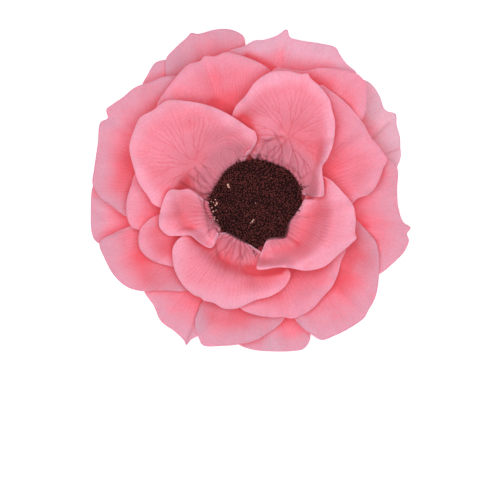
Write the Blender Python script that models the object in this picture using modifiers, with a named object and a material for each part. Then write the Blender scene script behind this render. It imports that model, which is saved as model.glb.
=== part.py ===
"""A preserved anemone head: pink petals in four rings round a dark, domed boss of florets.

The head lies face up, cut off just under its receptacle. The origin is in the middle of that
cut, +Z is up, and +Y is the side that is uppermost when the head is looked at from above.
Petals are glued to the receptacle by narrow roots, ring over ring, and drape over each other.

Lengths are millimetres until a mesh is made. Places seen from above are written as
(degrees, millimetres) round the middle of the boss, counter-clockwise from +X.
"""

import math

import bmesh
import bpy
import numpy as np

MM = 0.001
COLLECTION_NAME = "preserved_anemone"

# Sizes that the rest follows
PETAL_THICKNESS = 0.6
SEAT_GAP = 0.3
LAYER_GAP = 0.65
CUT_RADIUS = 6.0
NECK_HEIGHT = 3.2
SHOULDER_RADIUS = 10.6
SHOULDER_HEIGHT = 13.4
TOP_HEIGHT = 14.0
FLANK_HEIGHTS = (9.4, 6.4)
BOSS_RADIUS = 12.7
BOSS_RIM = 3.2
BOSS_RISE = 3.6

# Rings of petals: the height of their roots on the receptacle, and the height of a petal's
# middle as it runs outwards from there, as (millimetres from the axis, height)
RINGS = {
    "outer": [(6, 4.2), (14, 5.4), (25, 7.6), (35, 9.6), (45, 11.0), (53, 11.4)],
    "third": [(8, 7.0), (14, 8.6), (20, 10.2), (30, 12.8), (40, 15.2), (51, 16.4)],
    "second": [(9, 9.8), (14, 11.8), (20, 14.0), (28, 16.8), (34, 19.0), (40, 20.4), (48, 20.8)],
}

# The middle of the two second-ring petals that dip under the lowest inner ones
SECOND_DIP = [(9, 9.8), (14, 10.4), (19, 11.2), (24, 13.6), (29, 16.6), (35, 18.4)]

# One entry a petal, from the lowest to the highest. The root is the arc where it is glued to the
# receptacle, or a line of places where its base stands against the boss. The margin is its edge
# as seen from above, and a fold is a line of places with the height of its crest (or the depth
# of its valley) and its half width.
PETALS = [
    dict(
        name="petal_outer_1", ring="outer", root=(126, 148),
        margin=[(113, 38), (114, 44), (121.2, 47.7), (125.1, 48.9), (130, 47.5), (133.5, 46.4),
                (139, 43), (142, 37)],
    ),
    dict(
        name="petal_outer_2", ring="outer", root=(88, 112),
        margin=[(85, 36), (88, 41.5), (93.6, 44.9), (94.1, 47.5), (97.9, 49.7), (103, 50.6),
                (108.7, 50.8), (110.6, 51.7), (112.5, 50.9), (117.5, 49.5), (121.4, 48.2),
                (125, 44), (126, 38)],
        folds=[([(108, 24), (110.5, 50)], -0.8, 2.2), ([(99, 30), (100, 48)], 0.7, 4.0)],
    ),
    dict(
        name="petal_outer_3", ring="outer", root=(20, 44),
        margin=[(8, 34), (10, 38.5), (14.9, 41.2), (18.7, 43.2), (21.5, 43.8), (25, 44.8),
                (29.4, 45.6), (33.1, 47), (35, 45.7), (37, 45.2), (41.6, 46.5), (47.2, 47),
                (51, 45.4), (55, 38)],
        folds=[([(30, 24), (30, 46)], -0.9, 2.0), ([(22, 28), (21.5, 44)], -0.8, 1.6),
               ([(36, 28), (36, 45)], -0.7, 2.0)],
    ),
    dict(
        name="petal_outer_4", ring="outer", root=(172, 196),
        margin=[(163, 38), (166, 43), (172.8, 46), (181.7, 46.4), (190.9, 46.7), (193.6, 45.6),
                (196, 42), (199, 36)],
    ),
    dict(
        name="petal_outer_5", ring="outer", root=(268, 292),
        margin=[(254, 33), (257, 37), (263.4, 39.7), (268.4, 40.7), (276.5, 41.5), (285.4, 42.6),
                (288.5, 42.7), (291.5, 41.2), (294, 38), (298, 33)],
        folds=[([(276, 20), (277, 41)], 0.8, 4.0)],
    ),
    dict(
        name="petal_third_1", ring="third", root=(224, 244),
        margin=[(209, 32), (212, 37), (217.8, 39.6), (224.5, 40.2), (230.8, 42.1), (237.3, 42.2),
                (242.4, 43.2), (243.7, 44), (244.2, 42.3), (246.5, 40), (251, 36), (255, 30)],
        folds=[([(242, 18), (243.5, 43)], -0.9, 2.0), ([(228, 24), (228, 40)], 0.8, 4.0)],
    ),
    dict(
        name="petal_third_2", ring="third", root=(258, 278),
        margin=[(241, 32), (242.5, 37), (246.5, 40.4), (249.5, 42.1), (256.1, 40.8),
                (262.5, 39.6), (269.7, 38.1), (276.5, 35.9), (282.6, 33.7), (288, 30.5),
                (290, 26)],
        folds=[([(255, 20), (252, 41)], 0.9, 4.5)],
    ),
    dict(
        name="petal_third_3", ring="third", root=(344, 364),
        margin=[(325, 30), (327, 36.5), (331, 39.8), (336.7, 41.8), (342.5, 43.7), (347.1, 44.1),
                (349, 43.2), (351.6, 44), (353.2, 41.8), (358, 40.2), (364.9, 39.8),
                (374.9, 41), (379, 39), (382.5, 35), (383, 29)],
        folds=[([(350, 18), (352, 43)], -0.9, 2.0), ([(366, 22), (368, 38)], 1.0, 4.5)],
    ),
    dict(
        name="petal_third_4", ring="third", root=(305, 327),
        margin=[(287, 31), (290.5, 36.5), (293.8, 40.2), (296, 42.2), (301.4, 42.9),
                (307.2, 43.5), (313.8, 44), (316.6, 43.4), (322.4, 42.4), (329.1, 40.2),
                (335.6, 38), (342.4, 35.5), (347.8, 31.2), (351.8, 28.4), (354, 24)],
        folds=[([(314, 20), (314, 43)], -1.0, 2.2), ([(327, 26), (327, 39)], 1.2, 5.0),
               ([(300, 28), (300, 42)], 0.8, 4.0)],
    ),
    dict(
        name="petal_third_5", ring="third", root=(190, 210),
        margin=[(187, 28), (189.5, 35), (191.5, 41), (193.7, 45), (199.2, 45), (206.9, 44.3),
                (212.8, 42.7), (217.8, 39.6), (223.4, 35), (229.7, 31.8), (236, 28), (238, 23)],
        folds=[([(206, 22), (208, 43)], 1.2, 5.0), ([(193, 30), (195, 43)], 1.0, 2.5)],
    ),
    dict(
        name="petal_third_6", ring="third", root=(137, 157),
        margin=[(112, 33), (115, 39), (121.7, 42.4), (126.1, 44.3), (130, 45.2), (135.9, 47.2),
                (140.9, 47.9), (145.6, 49.3), (147.4, 49.8), (149.8, 48.1), (152, 49.3),
                (158.8, 47.5), (167.2, 46.4), (172.8, 46.1), (177.5, 43.5), (180, 40.8),
                (185.2, 36.4), (187, 31), (183, 25)],
        folds=[([(149, 20), (149.5, 48)], -1.1, 2.2), ([(165, 24), (167, 45)], 1.1, 4.5),
               ([(128, 30), (129, 44)], 0.9, 4.0)],
    ),
    dict(
        name="petal_third_7", ring="third", root=(67, 89),
        margin=[(48, 37), (49.5, 42.5), (52.4, 46.4), (57, 47), (60.6, 48.2), (63, 49.4),
                (67.7, 48.8), (74.7, 47.8), (78.4, 48), (79.9, 50), (82.8, 47.9), (87.6, 46.2),
                (90.2, 46.1), (93.9, 44.7), (101, 43.4), (106, 39.5), (107, 33)],
        folds=[([(79, 22), (79.5, 48)], -0.4, 2.0), ([(64, 30), (65, 48)], 0.9, 4.0)],
    ),
    dict(
        name="petal_second_1", ring="second", root=(162, 182),
        margin=[(149, 27), (155, 32), (165, 34.8), (171.7, 35.3), (178, 36.1), (185.2, 36.2),
                (190.3, 35.2), (193, 32.5), (198, 28), (196, 22)],
        folds=[([(176, 22), (178, 35)], 1.0, 4.0)],
    ),
    dict(
        name="petal_second_2", ring="second", root=(202, 222),
        margin=[(183, 22), (186.5, 28.5), (191.2, 32.5), (195.2, 33.9), (201.1, 34.6),
                (207.7, 33.2), (213.6, 30.5), (219, 28), (226, 26), (231, 22)],
        folds=[([(200, 22), (200, 33)], 1.2, 4.0)],
    ),
    dict(
        name="petal_second_3", ring="second", root=(256, 276), profile=SECOND_DIP,
        margin=[(240, 17), (246, 22), (254, 25.5), (264, 27), (275, 26.5), (284, 24), (289, 18)],
    ),
    dict(
        name="petal_second_4", ring="second", root=(286, 308), profile=SECOND_DIP,
        margin=[(254, 22), (257, 26.5), (261.5, 29.3), (267, 30.5), (277.4, 31.8),
                (283.8, 32.4), (287.9, 33.5), (297.2, 33.3), (306.8, 31.9), (313, 31.4),
                (320, 30.1), (326.8, 28.7), (333.8, 28.2), (340, 26), (342, 21)],
        folds=[([(288, 16), (288, 32)], -1.0, 2.5), ([(270, 22), (270, 29)], 1.0, 4.0)],
    ),
    dict(
        name="petal_second_5", ring="second", root=(102, 122),
        margin=[(77, 28), (80, 34.5), (84.1, 37.9), (87.9, 39.4), (94.5, 41.5), (101.3, 43.4),
                (105.4, 43), (109, 44), (111.2, 43.1), (115.8, 43.4), (121.8, 42.1),
                (128.9, 40.5), (135.1, 39.1), (141, 35), (142, 28)],
        folds=[([(109, 24), (109, 43)], -0.9, 2.0), ([(122, 28), (122, 41)], 0.9, 4.5),
               ([(95, 28), (97, 41)], 0.9, 4.0)],
    ),
    dict(
        name="petal_second_6", ring="second", root=(54, 74),
        margin=[(37.5, 31), (38, 36), (39.8, 39.6), (44.2, 43.3), (47, 45.4), (50.3, 46.3),
                (53.2, 46.1), (59.1, 44.2), (64.2, 42.5), (70, 39.8), (77.2, 39), (81.5, 38.5),
                (86, 35), (88, 29)],
        folds=[([(50, 28), (50, 45)], -1.0, 2.2), ([(66, 28), (66, 41)], 1.0, 4.0)],
    ),
    dict(
        name="petal_second_7", ring="second", root=(13, 35),
        margin=[(351, 20), (356, 24.5), (360.6, 27.1), (363.5, 28.6), (365.5, 32.1),
                (371, 35.1), (376, 37.2), (378.9, 38.9), (382.8, 38.5), (390.7, 37.4),
                (397.6, 37.7), (408.8, 38), (417.6, 38.1), (421.1, 38.2), (423, 36), (421, 30)],
        folds=[([(24, 16), (21, 38)], -1.0, 2.4), ([(38, 24), (42, 37)], 1.1, 5.0),
               ([(7, 24), (10, 33)], 0.9, 3.5)],
    ),
    dict(
        name="petal_inner_1", ring="inner", root=(17, 84), layers=2,
        profile=[(11, 12.8), (13, 14.4), (16, 14.8), (20, 15.6), (24, 18.6), (28, 23.0),
                 (32, 26.0), (36, 27.4), (40, 27.6)],
        margin=[(11, 15.4), (7, 17.4), (7.5, 19.2), (12.7, 19.6), (18, 20), (24, 20.4),
                (29.9, 21.5), (32.7, 23.9), (39.3, 28.1),
                (46.2, 31.9), (51.2, 34.2), (54.8, 36.6), (61, 38.2), (66.4, 38.6),
                (68.5, 39.4), (70.6, 38.5), (76.4, 38.2), (83.7, 37), (90, 34.2), (95.5, 30.4),
                (102.2, 27.6), (106, 24), (103, 18)],
        folds=[([(8, 18), (17, 19.2), (25, 20.4), (31, 22.5), (38, 26)], 5.5, 2.6),
               ([(92, 20), (90, 31)], 1.2, 4.0)],
    ),
    dict(
        name="petal_inner_2", ring="inner", root=(114, 166),
        profile=[(11, 12.8), (13, 14.6), (16, 15.8), (20, 18.2), (24, 21.2), (28, 23.6),
                 (32, 25.0), (37, 25.2), (41, 24.2)],
        margin=[(100, 15.2), (93.6, 15.9), (89.3, 17.6), (90.6, 20.4), (95, 21.5), (104.9, 25.4),
                (114.4, 30), (123.4, 34.4), (130.6, 38.1), (137.5, 38.9), (143, 40.4),
                (148.5, 39.8), (155.8, 38.6), (165, 34.8), (169.5, 33.2), (175.8, 30.1),
                (179.5, 28.7), (182.1, 26.4), (184.5, 22), (181, 18)],
        folds=[([(143, 16), (145, 24), (143, 39)], -1.0, 2.6), ([(100, 19), (112, 24), (128, 34)],
                1.8, 4.0), ([(170, 24), (164, 33)], 1.4, 4.0), ([(165, 20), (177, 21)], -2.0, 2.2),
               ([(172, 12), (179, 17)], -2.0, 2.4)],
    ),
    dict(
        name="petal_inner_4", ring="inner",
        root=[(222, 12.2), (230, 11.4), (240, 11.1), (250, 11.3), (261, 12.2)],
        profile=[(11, 17.4), (13, 16.2), (15, 14.8), (17, 13.8), (18, 13.9), (19, 15.2),
                 (21, 18.8), (23, 20.4), (26, 20.8), (31, 19.6)],
        margin=[(221, 16.4), (214, 18.2), (207.5, 19.8), (203.6, 20.8), (203.2, 22),
                (205, 24.6), (208.8, 26.6),
                (217.8, 28.9), (227.4, 30.3), (236.4, 30.6), (239, 30.2), (241.4, 30.5),
                (247, 29.9), (252.6, 30.4), (259.3, 29.6), (269.6, 26.8), (280.5, 25.8),
                (291.2, 23.9), (297, 21.4), (292, 17.5), (282, 15.6)],
        folds=[([(274, 21), (296, 22)], -3.0, 4.0)],
    ),
    dict(
        name="petal_inner_3", ring="inner", root=(184, 212),
        profile=[(11, 12.8), (13, 15.8), (16, 19.4), (19, 21.2), (23, 21.6), (28, 21.4)],
        margin=[(169, 17.8), (167, 19.2), (169.1, 21.5), (170.2, 24.1), (175.9, 25.6),
                (183, 26.5), (188.1, 27.3), (193.2, 27.6), (199.2, 26), (202.6, 22.6),
                (205.5, 20.2), (212, 19.2), (219, 18.4), (224, 17.4), (224, 16.2),
                (219.5, 14.6)],
        folds=[([(177, 23.4), (184, 22), (192, 20.8), (200, 20)], -1.6, 1.5),
               ([(208, 20), (217, 18), (224, 16)], -5.0, 4.0)],
    ),
    dict(
        name="petal_inner_5", ring="inner", under=("petal_inner_1",),
        root=[(285, 11.5), (290, 10.7), (300, 11.1), (311, 12.6), (317, 12.2), (330, 11.1),
              (341, 11.5), (351, 13)],
        profile=[(11, 17.4), (13, 16.2), (15, 15.8), (17, 16.8), (19, 18.8), (21, 20.8),
                 (24, 22.2), (27, 22.4), (31, 21.4)],
        margin=[(277, 14.6), (271.5, 16.4), (271.2, 18), (278.8, 18.3), (287.1, 18.4),
                (293.7, 19.2), (299.4, 20.4), (306.9, 23.1), (317.7, 25.8), (328.5, 27),
                (338.4, 29), (341.4, 29.7), (344, 28.9), (351.8, 28.2), (360, 27.1),
                (368, 24.6), (378.7, 21.9), (383.7, 19.8), (380, 16.4)],
        folds=[([(272, 17.6), (285, 18.2), (294, 18.8), (306, 20), (320, 21.6), (335, 22.4),
                 (350, 21.6), (364, 21.4)], 1.6, 2.6),
               ([(272, 17.6), (285, 18.2), (294, 18.8)], 3.2, 1.8),
               ([(5, 22), (21, 21)], -2.0, 4.5)],
    ),
]

# How a petal turns down at its margin, how the margin waves, how far the petal's sides stand
# above its middle, and the part of its length over which its folds rise from the root
MARGIN_DROPS = {"outer": 0.8, "third": 0.8, "second": 0.8, "inner": 0.5}
MARGIN_WIDTH = 4.0
WAVE_HEIGHT = 0.5
WAVE_LENGTH = 11.0
WAVE_SHIFT = 1.9
SIDE_RISE = 1.4
FOLD_START = 0.33

# Draping: steps across and along a petal at which it is worked out, the square net of heights
# that it is laid over, and the stretch at its root that stays where it is glued
ACROSS = 240
ALONG = 120
NET_STEP = 0.5
NET_HALF = 58.0
SOFT_RADIUS = 0.5
CLEAR_RADIUS = PETAL_THICKNESS + LAYER_GAP
ROOT_FREE = 3.0
EASE_REACH = 5
EASE_ROUNDS = 12
NOTHING_ABOVE = 60.0

# Cells of a petal's own mesh
CELLS_ACROSS = 15
CELLS_ALONG = 6

# The boss's outline seen from above, its florets, and how its rim hangs over the inner roots
BOSS_OUTLINE = [(0, 12.9), (22, 13.4), (43, 13.4), (64, 12.5), (90, 12.6), (126, 12.7),
                (150, 12.3), (180, 13.1), (205, 11.6), (219, 11.8), (230, 10.8), (240, 10.5),
                (250, 10.7), (261, 11.6), (270, 12.3), (285, 10.9), (290, 10.1), (300, 10.5),
                (311, 12.0), (317, 11.6), (330, 10.5), (341, 10.9), (351, 12.4)]
FLORETS = 150
FLORET_HEIGHT = 0.8
FLORET_FILL = 0.97
FLORET_SPREAD = 0.6
GOLDEN_ANGLE = math.pi * (3 - math.sqrt(5))
BOSS_STEPS = 84
BOSS_OVERHANG = 0.6
RIM_DEPTH = 0.8

# Colours of the pieces
PETAL_COLOURS = {
    "outer": (0.80, 0.32, 0.42),
    "third": (0.82, 0.26, 0.36),
    "second": (0.84, 0.28, 0.38),
    "inner": (0.84, 0.25, 0.34),
}
BOSS_COLOUR = (0.035, 0.010, 0.012)
RECEPTACLE_COLOUR = (0.10, 0.12, 0.045)


def plan_points(places):
    """(degrees, millimetres) round the axis, as x and y."""
    angles = np.radians([angle for angle, _ in places])
    lengths = np.array([length for _, length in places])
    return np.column_stack((lengths * np.cos(angles), lengths * np.sin(angles)))


def smooth_curve(points, cells, per_span=24):
    """A Catmull-Rom curve through points, cut at even lengths into the given number of cells."""
    points = np.asarray(points, float)
    gaps = np.linalg.norm(np.diff(points, axis=0), axis=1)
    knots = np.concatenate(([0], np.cumsum(np.sqrt(gaps))))
    slopes = np.gradient(points, knots, axis=0)
    dense = []
    for i in range(len(points) - 1):
        span = knots[i + 1] - knots[i]
        u = np.linspace(0, 1, per_span, endpoint=False)[:, None]
        dense.append(
            (2 * u**3 - 3 * u**2 + 1) * points[i]
            + (u**3 - 2 * u**2 + u) * span * slopes[i]
            + (3 * u**2 - 2 * u**3) * points[i + 1]
            + (u**3 - u**2) * span * slopes[i + 1]
        )
    dense = np.vstack(dense + [points[-1:]])
    lengths = np.concatenate(([0], np.cumsum(np.linalg.norm(np.diff(dense, axis=0), axis=1))))
    even = np.linspace(0, lengths[-1], cells + 1)
    return np.column_stack([np.interp(even, lengths, dense[:, k]) for k in range(dense.shape[1])])


def flank_radius(height):
    """The receptacle's radius at a height on its flank."""
    return np.interp(height, (NECK_HEIGHT, SHOULDER_HEIGHT), (CUT_RADIUS + 0.2, SHOULDER_RADIUS))


def distance_to_line(plan, places):
    """How far each place of a petal lies, in plan, from a line through the given places."""
    corners = plan_points(places)
    nearest = np.full(plan.shape[:2], np.inf)
    for start, end in zip(corners[:-1], corners[1:]):
        run = end - start
        along = np.clip(((plan - start) @ run) / (run @ run), 0, 1)
        nearest = np.minimum(nearest, np.linalg.norm(plan - start - along[..., None] * run, axis=2))
    return nearest


# The net of heights that petals are draped over


def net_places(radius):
    """Steps on the net that stay inside a radius, with their distances."""
    reach = int(radius / NET_STEP)
    for i in range(-reach, reach + 1):
        for j in range(-reach, reach + 1):
            distance = math.hypot(i, j) * NET_STEP
            if distance <= radius:
                yield (i, j), distance


def raised(net, radius, round_top):
    """The highest of the net round each place; a round top adds a ball's height over it."""
    result = net.copy()
    for step, distance in net_places(radius):
        rise = math.sqrt(radius**2 - distance**2) if round_top else 0.0
        result = np.maximum(result, np.roll(net, step, (0, 1)) + rise)
    return result


def softened(net, radius):
    """The mean of the net round each place."""
    steps = [step for step, _ in net_places(radius)]
    return sum(np.roll(net, step, (0, 1)) for step in steps) / len(steps)


def cover(net):
    """A soft surface that lies a clear layer above the net."""
    return softened(raised(raised(net, CLEAR_RADIUS, True), SOFT_RADIUS, False), SOFT_RADIUS)


def read_net(net, plan):
    """The net's height at places of a petal, between its knots."""
    places = (plan + NET_HALF) / NET_STEP
    low = np.floor(places).astype(int)
    part = places - low
    i, j = low[..., 0], low[..., 1]
    u, v = part[..., 0], part[..., 1]
    near = net[i, j] * (1 - u) + net[i + 1, j] * u
    far = net[i, j + 1] * (1 - u) + net[i + 1, j + 1] * u
    return near * (1 - v) + far * v


def press_on_net(net, plan, heights, highest):
    """Takes a laid petal into the net, as its highest or its lowest surface."""
    knots = np.rint((plan + NET_HALF) / NET_STEP).astype(int)
    pick = np.maximum if highest else np.minimum
    pick.at(net, (knots[..., 0], knots[..., 1]), heights)


def eased(values, reach):
    """The mean of a petal's values over neighbouring places, both ways."""
    for axis in (0, 1):
        pad = [(0, 0), (0, 0)]
        pad[axis] = (reach + 1, reach)
        total = np.cumsum(np.pad(values, pad, mode="edge"), axis=axis)
        count = values.shape[axis]
        ahead = np.take(total, range(2 * reach + 1, 2 * reach + 1 + count), axis=axis)
        behind = np.take(total, range(count), axis=axis)
        values = (ahead - behind) / (2 * reach + 1)
    return values


def free_heights(petal, index, plan, inset, margin_length):
    """A petal's heights before it meets its neighbours."""
    profile = smooth_curve(petal.get("profile") or RINGS[petal["ring"]], ACROSS)
    radii = np.linalg.norm(plan, axis=2)
    heights = np.interp(radii, profile[:, 0], profile[:, 1])
    across = np.linspace(0, 1, ACROSS + 1)[:, None]
    outward = np.linspace(0, 1, ALONG + 1)[None, :]
    heights += SIDE_RISE * (2 * across - 1) ** 2 * outward
    for line, height, width in petal.get("folds", ()):
        near = distance_to_line(plan, line)
        heights += height * np.exp(-((near / width) ** 2)) * np.minimum(1, outward / FOLD_START)
    edge = np.clip(1 - inset / MARGIN_WIDTH, 0, 1)
    heights -= MARGIN_DROPS[petal["ring"]] * edge**2
    waves = 2 * math.pi * across * round(margin_length / WAVE_LENGTH)
    heights += WAVE_HEIGHT * np.sin(waves + WAVE_SHIFT * index) * outward**3
    return heights


def root_line(petal):
    """Where a petal's base is glued, on the receptacle's flank or against the boss."""
    if len(petal["root"]) > 2:
        return smooth_curve(plan_points(petal["root"]), ACROSS)
    height = (petal.get("profile") or RINGS[petal["ring"]])[0][1]
    radius = flank_radius(height) + SEAT_GAP + PETAL_THICKNESS / 2
    return plan_points([(angle, radius) for angle in np.linspace(*petal["root"], ACROSS + 1)])


def lay_petals():
    """Every petal's places and heights, from the lowest to the highest, none through another."""
    knots = int(2 * NET_HALF / NET_STEP) + 1
    top = np.zeros((knots, knots))
    covered = {}
    laid = {}
    for index, petal in enumerate(PETALS):
        margin = smooth_curve(plan_points(petal["margin"]), ACROSS)
        root = root_line(petal)
        outward = np.linspace(0, 1, ALONG + 1)
        plan = root[:, None] + (margin - root)[:, None] * outward[None, :, None]
        spoke = np.linalg.norm(margin - root, axis=1)[:, None]
        inset = spoke * (1 - outward)
        margin_length = np.linalg.norm(np.diff(margin, axis=0), axis=1).sum()
        free = free_heights(petal, index, plan, inset, margin_length)
        below = np.zeros((knots, knots))
        above = boss_ceiling(knots, petal)
        for name, net in covered.items():
            if name in petal.get("under", ()):
                above = np.minimum(above, net[1])
            else:
                below = np.maximum(below, net[0])
        for _ in range(petal.get("layers", 1)):
            below = cover(below)
        needed = np.maximum(0, read_net(below, plan) - free)
        lift = needed
        for _ in range(EASE_ROUNDS):
            lift = np.maximum(needed, eased(lift, EASE_REACH))
        root_ease = np.clip(spoke * outward / ROOT_FREE, 0, 1)
        heights = free + lift * root_ease * root_ease * (3 - 2 * root_ease)
        heights = np.minimum(heights, -read_net(cover(-above), plan))
        lowest = np.full((knots, knots), NOTHING_ABOVE)
        highest = np.zeros((knots, knots))
        press_on_net(highest, plan, heights, True)
        press_on_net(lowest, plan, heights, False)
        covered[petal["name"]] = (highest, lowest)
        laid[petal["name"]] = np.dstack((plan, heights))
    return laid


def boss_ceiling(knots, petal):
    """The net of the boss's underside, for a petal whose root it overhangs."""
    steps = np.linspace(-NET_HALF, NET_HALF, knots)
    flat = steps[:, None] + 1j * steps[None, :]
    outline = np.interp(np.degrees(np.angle(flat)), *zip(*BOSS_OUTLINE), period=360)
    overhung = (np.abs(flat) < outline + BOSS_OVERHANG) & (len(petal["root"]) == 2)
    return np.where(overhung, TOP_HEIGHT + BOSS_RIM - RIM_DEPTH, NOTHING_ABOVE)


# Blender objects


def material(name, colour, roughness):
    """A matt finish in one colour."""
    result = bpy.data.materials.new(name)
    result.use_nodes = True
    shader = result.node_tree.nodes["Principled BSDF"]
    shader.inputs["Base Color"].default_value = (*colour, 1)
    shader.inputs["Roughness"].default_value = roughness
    shader.inputs["Metallic"].default_value = 0.0
    return result


def add_object(name, mesh, finish, collection):
    """A piece of the flower, in its collection."""
    mesh.materials.append(finish)
    piece = bpy.data.objects.new(name, mesh)
    collection.objects.link(piece)
    return piece


def make_petal(petal, places, collection):
    """A grid bent to the petal's middle surface, split into triangles and given its thickness."""
    bm = bmesh.new()
    bmesh.ops.create_grid(bm, x_segments=CELLS_ACROSS, y_segments=CELLS_ALONG, size=1)
    for vertex in bm.verts:
        i = ACROSS - round((vertex.co.x + 1) / 2 * ACROSS)
        j = round((vertex.co.y + 1) / 2 * ALONG)
        vertex.co = [value * MM for value in places[i, j]]
    bmesh.ops.triangulate(bm, faces=bm.faces, quad_method="SHORT_EDGE")
    mesh = bpy.data.meshes.new(petal["name"])
    bm.to_mesh(mesh)
    bm.free()
    mesh.shade_smooth()
    finish = material(petal["name"], PETAL_COLOURS[petal["ring"]], 0.75)
    piece = add_object(petal["name"], mesh, finish, collection)
    thick = piece.modifiers.new("thickness", "SOLIDIFY")
    thick.thickness = PETAL_THICKNESS * MM
    thick.offset = 0
    return piece


def turned_mesh(name, profile, steps):
    """The mesh of a profile turned round the axis."""
    sketch = bpy.data.meshes.new(name + "_profile")
    points = [(radius * MM, 0, height * MM) for radius, height in profile]
    sketch.from_pydata(points, [(i, i + 1) for i in range(len(points) - 1)], [])
    holder = bpy.data.objects.new(name + "_profile", sketch)
    bpy.context.scene.collection.objects.link(holder)
    turn = holder.modifiers.new("turn", "SCREW")
    turn.steps = steps
    turn.render_steps = steps
    turn.use_merge_vertices = True
    turn.merge_threshold = 0.00001
    turned = holder.evaluated_get(bpy.context.evaluated_depsgraph_get())
    mesh = bpy.data.meshes.new_from_object(turned)
    mesh.name = name
    bpy.data.objects.remove(holder)
    return mesh


def make_receptacle(collection):
    """The swollen end of the stem that carries the petals, cut off flat below."""
    profile = [
        (0, TOP_HEIGHT),
        (SHOULDER_RADIUS - 0.7, TOP_HEIGHT),
        (SHOULDER_RADIUS - 0.1, TOP_HEIGHT - 0.2),
        (SHOULDER_RADIUS, SHOULDER_HEIGHT),
        *[(flank_radius(height), height) for height in FLANK_HEIGHTS],
        (CUT_RADIUS + 0.2, NECK_HEIGHT),
        (CUT_RADIUS + 0.1, 0.5),
        (CUT_RADIUS - 0.3, 0),
        (0, 0),
    ]
    mesh = turned_mesh("receptacle", profile, 40)
    mesh.shade_smooth()
    finish = material("receptacle", RECEPTACLE_COLOUR, 0.7)
    return add_object("receptacle", mesh, finish, collection)


def boss_profile():
    """Down the boss's outer side: its dome, its rim, and the seat on the receptacle's top."""
    seat = TOP_HEIGHT + SEAT_GAP
    rim = TOP_HEIGHT + BOSS_RIM
    dome = []
    for fraction in np.linspace(0, 0.95, 22):
        dome.append((fraction * BOSS_RADIUS, rim + BOSS_RISE * (1 - fraction**2) ** 0.75))
    shoulder = [(0.985 * BOSS_RADIUS, rim + 0.25), (BOSS_RADIUS, rim - 0.45)]
    underside = [(0.965 * BOSS_RADIUS, rim - 1.1), (0.88 * BOSS_RADIUS, seat + 0.9),
                 (0.74 * BOSS_RADIUS, seat), (0, seat)]
    return dome + shoulder + underside


def make_boss(collection):
    """The dark centre: a low dome packed with florets along the spirals of a seed head."""
    mesh = turned_mesh("centre_boss", boss_profile(), BOSS_STEPS)
    rim = TOP_HEIGHT + BOSS_RIM
    places = np.array([vertex.co[:] for vertex in mesh.vertices]) / MM
    radii = np.hypot(places[:, 0], places[:, 1])
    angles = np.degrees(np.arctan2(places[:, 1], places[:, 0]))
    outline = np.interp(angles, *zip(*BOSS_OUTLINE), period=360) / BOSS_RADIUS
    fraction = radii / BOSS_RADIUS
    stretch = 1 + (outline - 1) * np.clip(fraction * 2 - 1, 0, 1)
    places[:, :2] *= stretch[:, None]
    turns = np.arange(FLORETS)
    floret_radii = FLORET_FILL * BOSS_RADIUS * np.sqrt((turns + 0.5) / FLORETS)
    centres = floret_radii * np.exp(1j * GOLDEN_ANGLE * turns)
    flat = radii * np.exp(1j * np.radians(angles))
    nearest = np.abs(flat[:, None] - centres[None, :]).min(axis=1)
    spacing = BOSS_RADIUS * math.sqrt(math.pi / FLORETS)
    bump = FLORET_HEIGHT * np.clip(1 - (nearest / (FLORET_SPREAD * spacing)) ** 2, 0, 1)
    facing_up = np.clip((places[:, 2] - rim) / FLORET_HEIGHT, 0, 1)
    places[:, 2] += bump * facing_up
    for vertex, place in zip(mesh.vertices, places):
        vertex.co = place * MM
    mesh.shade_smooth()
    finish = material("centre_boss", BOSS_COLOUR, 0.85)
    return add_object("centre_boss", mesh, finish, collection)


for old in list(bpy.data.objects):
    bpy.data.objects.remove(old)

flower = bpy.data.collections.new(COLLECTION_NAME)
bpy.context.scene.collection.children.link(flower)
make_receptacle(flower)
make_boss(flower)
petal_places = lay_petals()
for petal_entry in PETALS:
    make_petal(petal_entry, petal_places[petal_entry["name"]], flower)
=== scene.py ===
import math

import bmesh
import bpy
import numpy as np
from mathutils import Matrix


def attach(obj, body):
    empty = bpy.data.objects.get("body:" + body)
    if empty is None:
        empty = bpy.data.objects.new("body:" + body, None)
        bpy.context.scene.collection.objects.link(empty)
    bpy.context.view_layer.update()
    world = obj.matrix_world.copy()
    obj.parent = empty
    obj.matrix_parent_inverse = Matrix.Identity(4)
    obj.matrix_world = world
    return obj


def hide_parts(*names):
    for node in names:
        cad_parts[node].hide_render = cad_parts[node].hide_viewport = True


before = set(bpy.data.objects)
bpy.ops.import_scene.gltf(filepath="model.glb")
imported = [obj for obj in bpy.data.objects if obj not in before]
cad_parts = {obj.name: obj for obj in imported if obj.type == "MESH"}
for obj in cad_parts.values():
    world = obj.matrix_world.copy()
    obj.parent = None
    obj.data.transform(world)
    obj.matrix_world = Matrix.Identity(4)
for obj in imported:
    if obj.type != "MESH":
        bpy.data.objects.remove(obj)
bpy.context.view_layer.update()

# Receptacle: the swollen end of the stem, of dry green tissue, which carries the boss and every
# petal. It was cut off flat under the head, so the pale pith shows there inside a darker rind.

MM = 0.001
CUT_RADIUS = 6.0
NECK_HEIGHT = 3.2
SHOULDER_RADIUS = 10.6
SHOULDER_HEIGHT = 13.4
TOP_HEIGHT = 14.0
STEM_STEPS = 132
STEM_RIBS = 11
RIB_DEPTH = 0.22
PITH_RADIUS = 4.3


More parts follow.
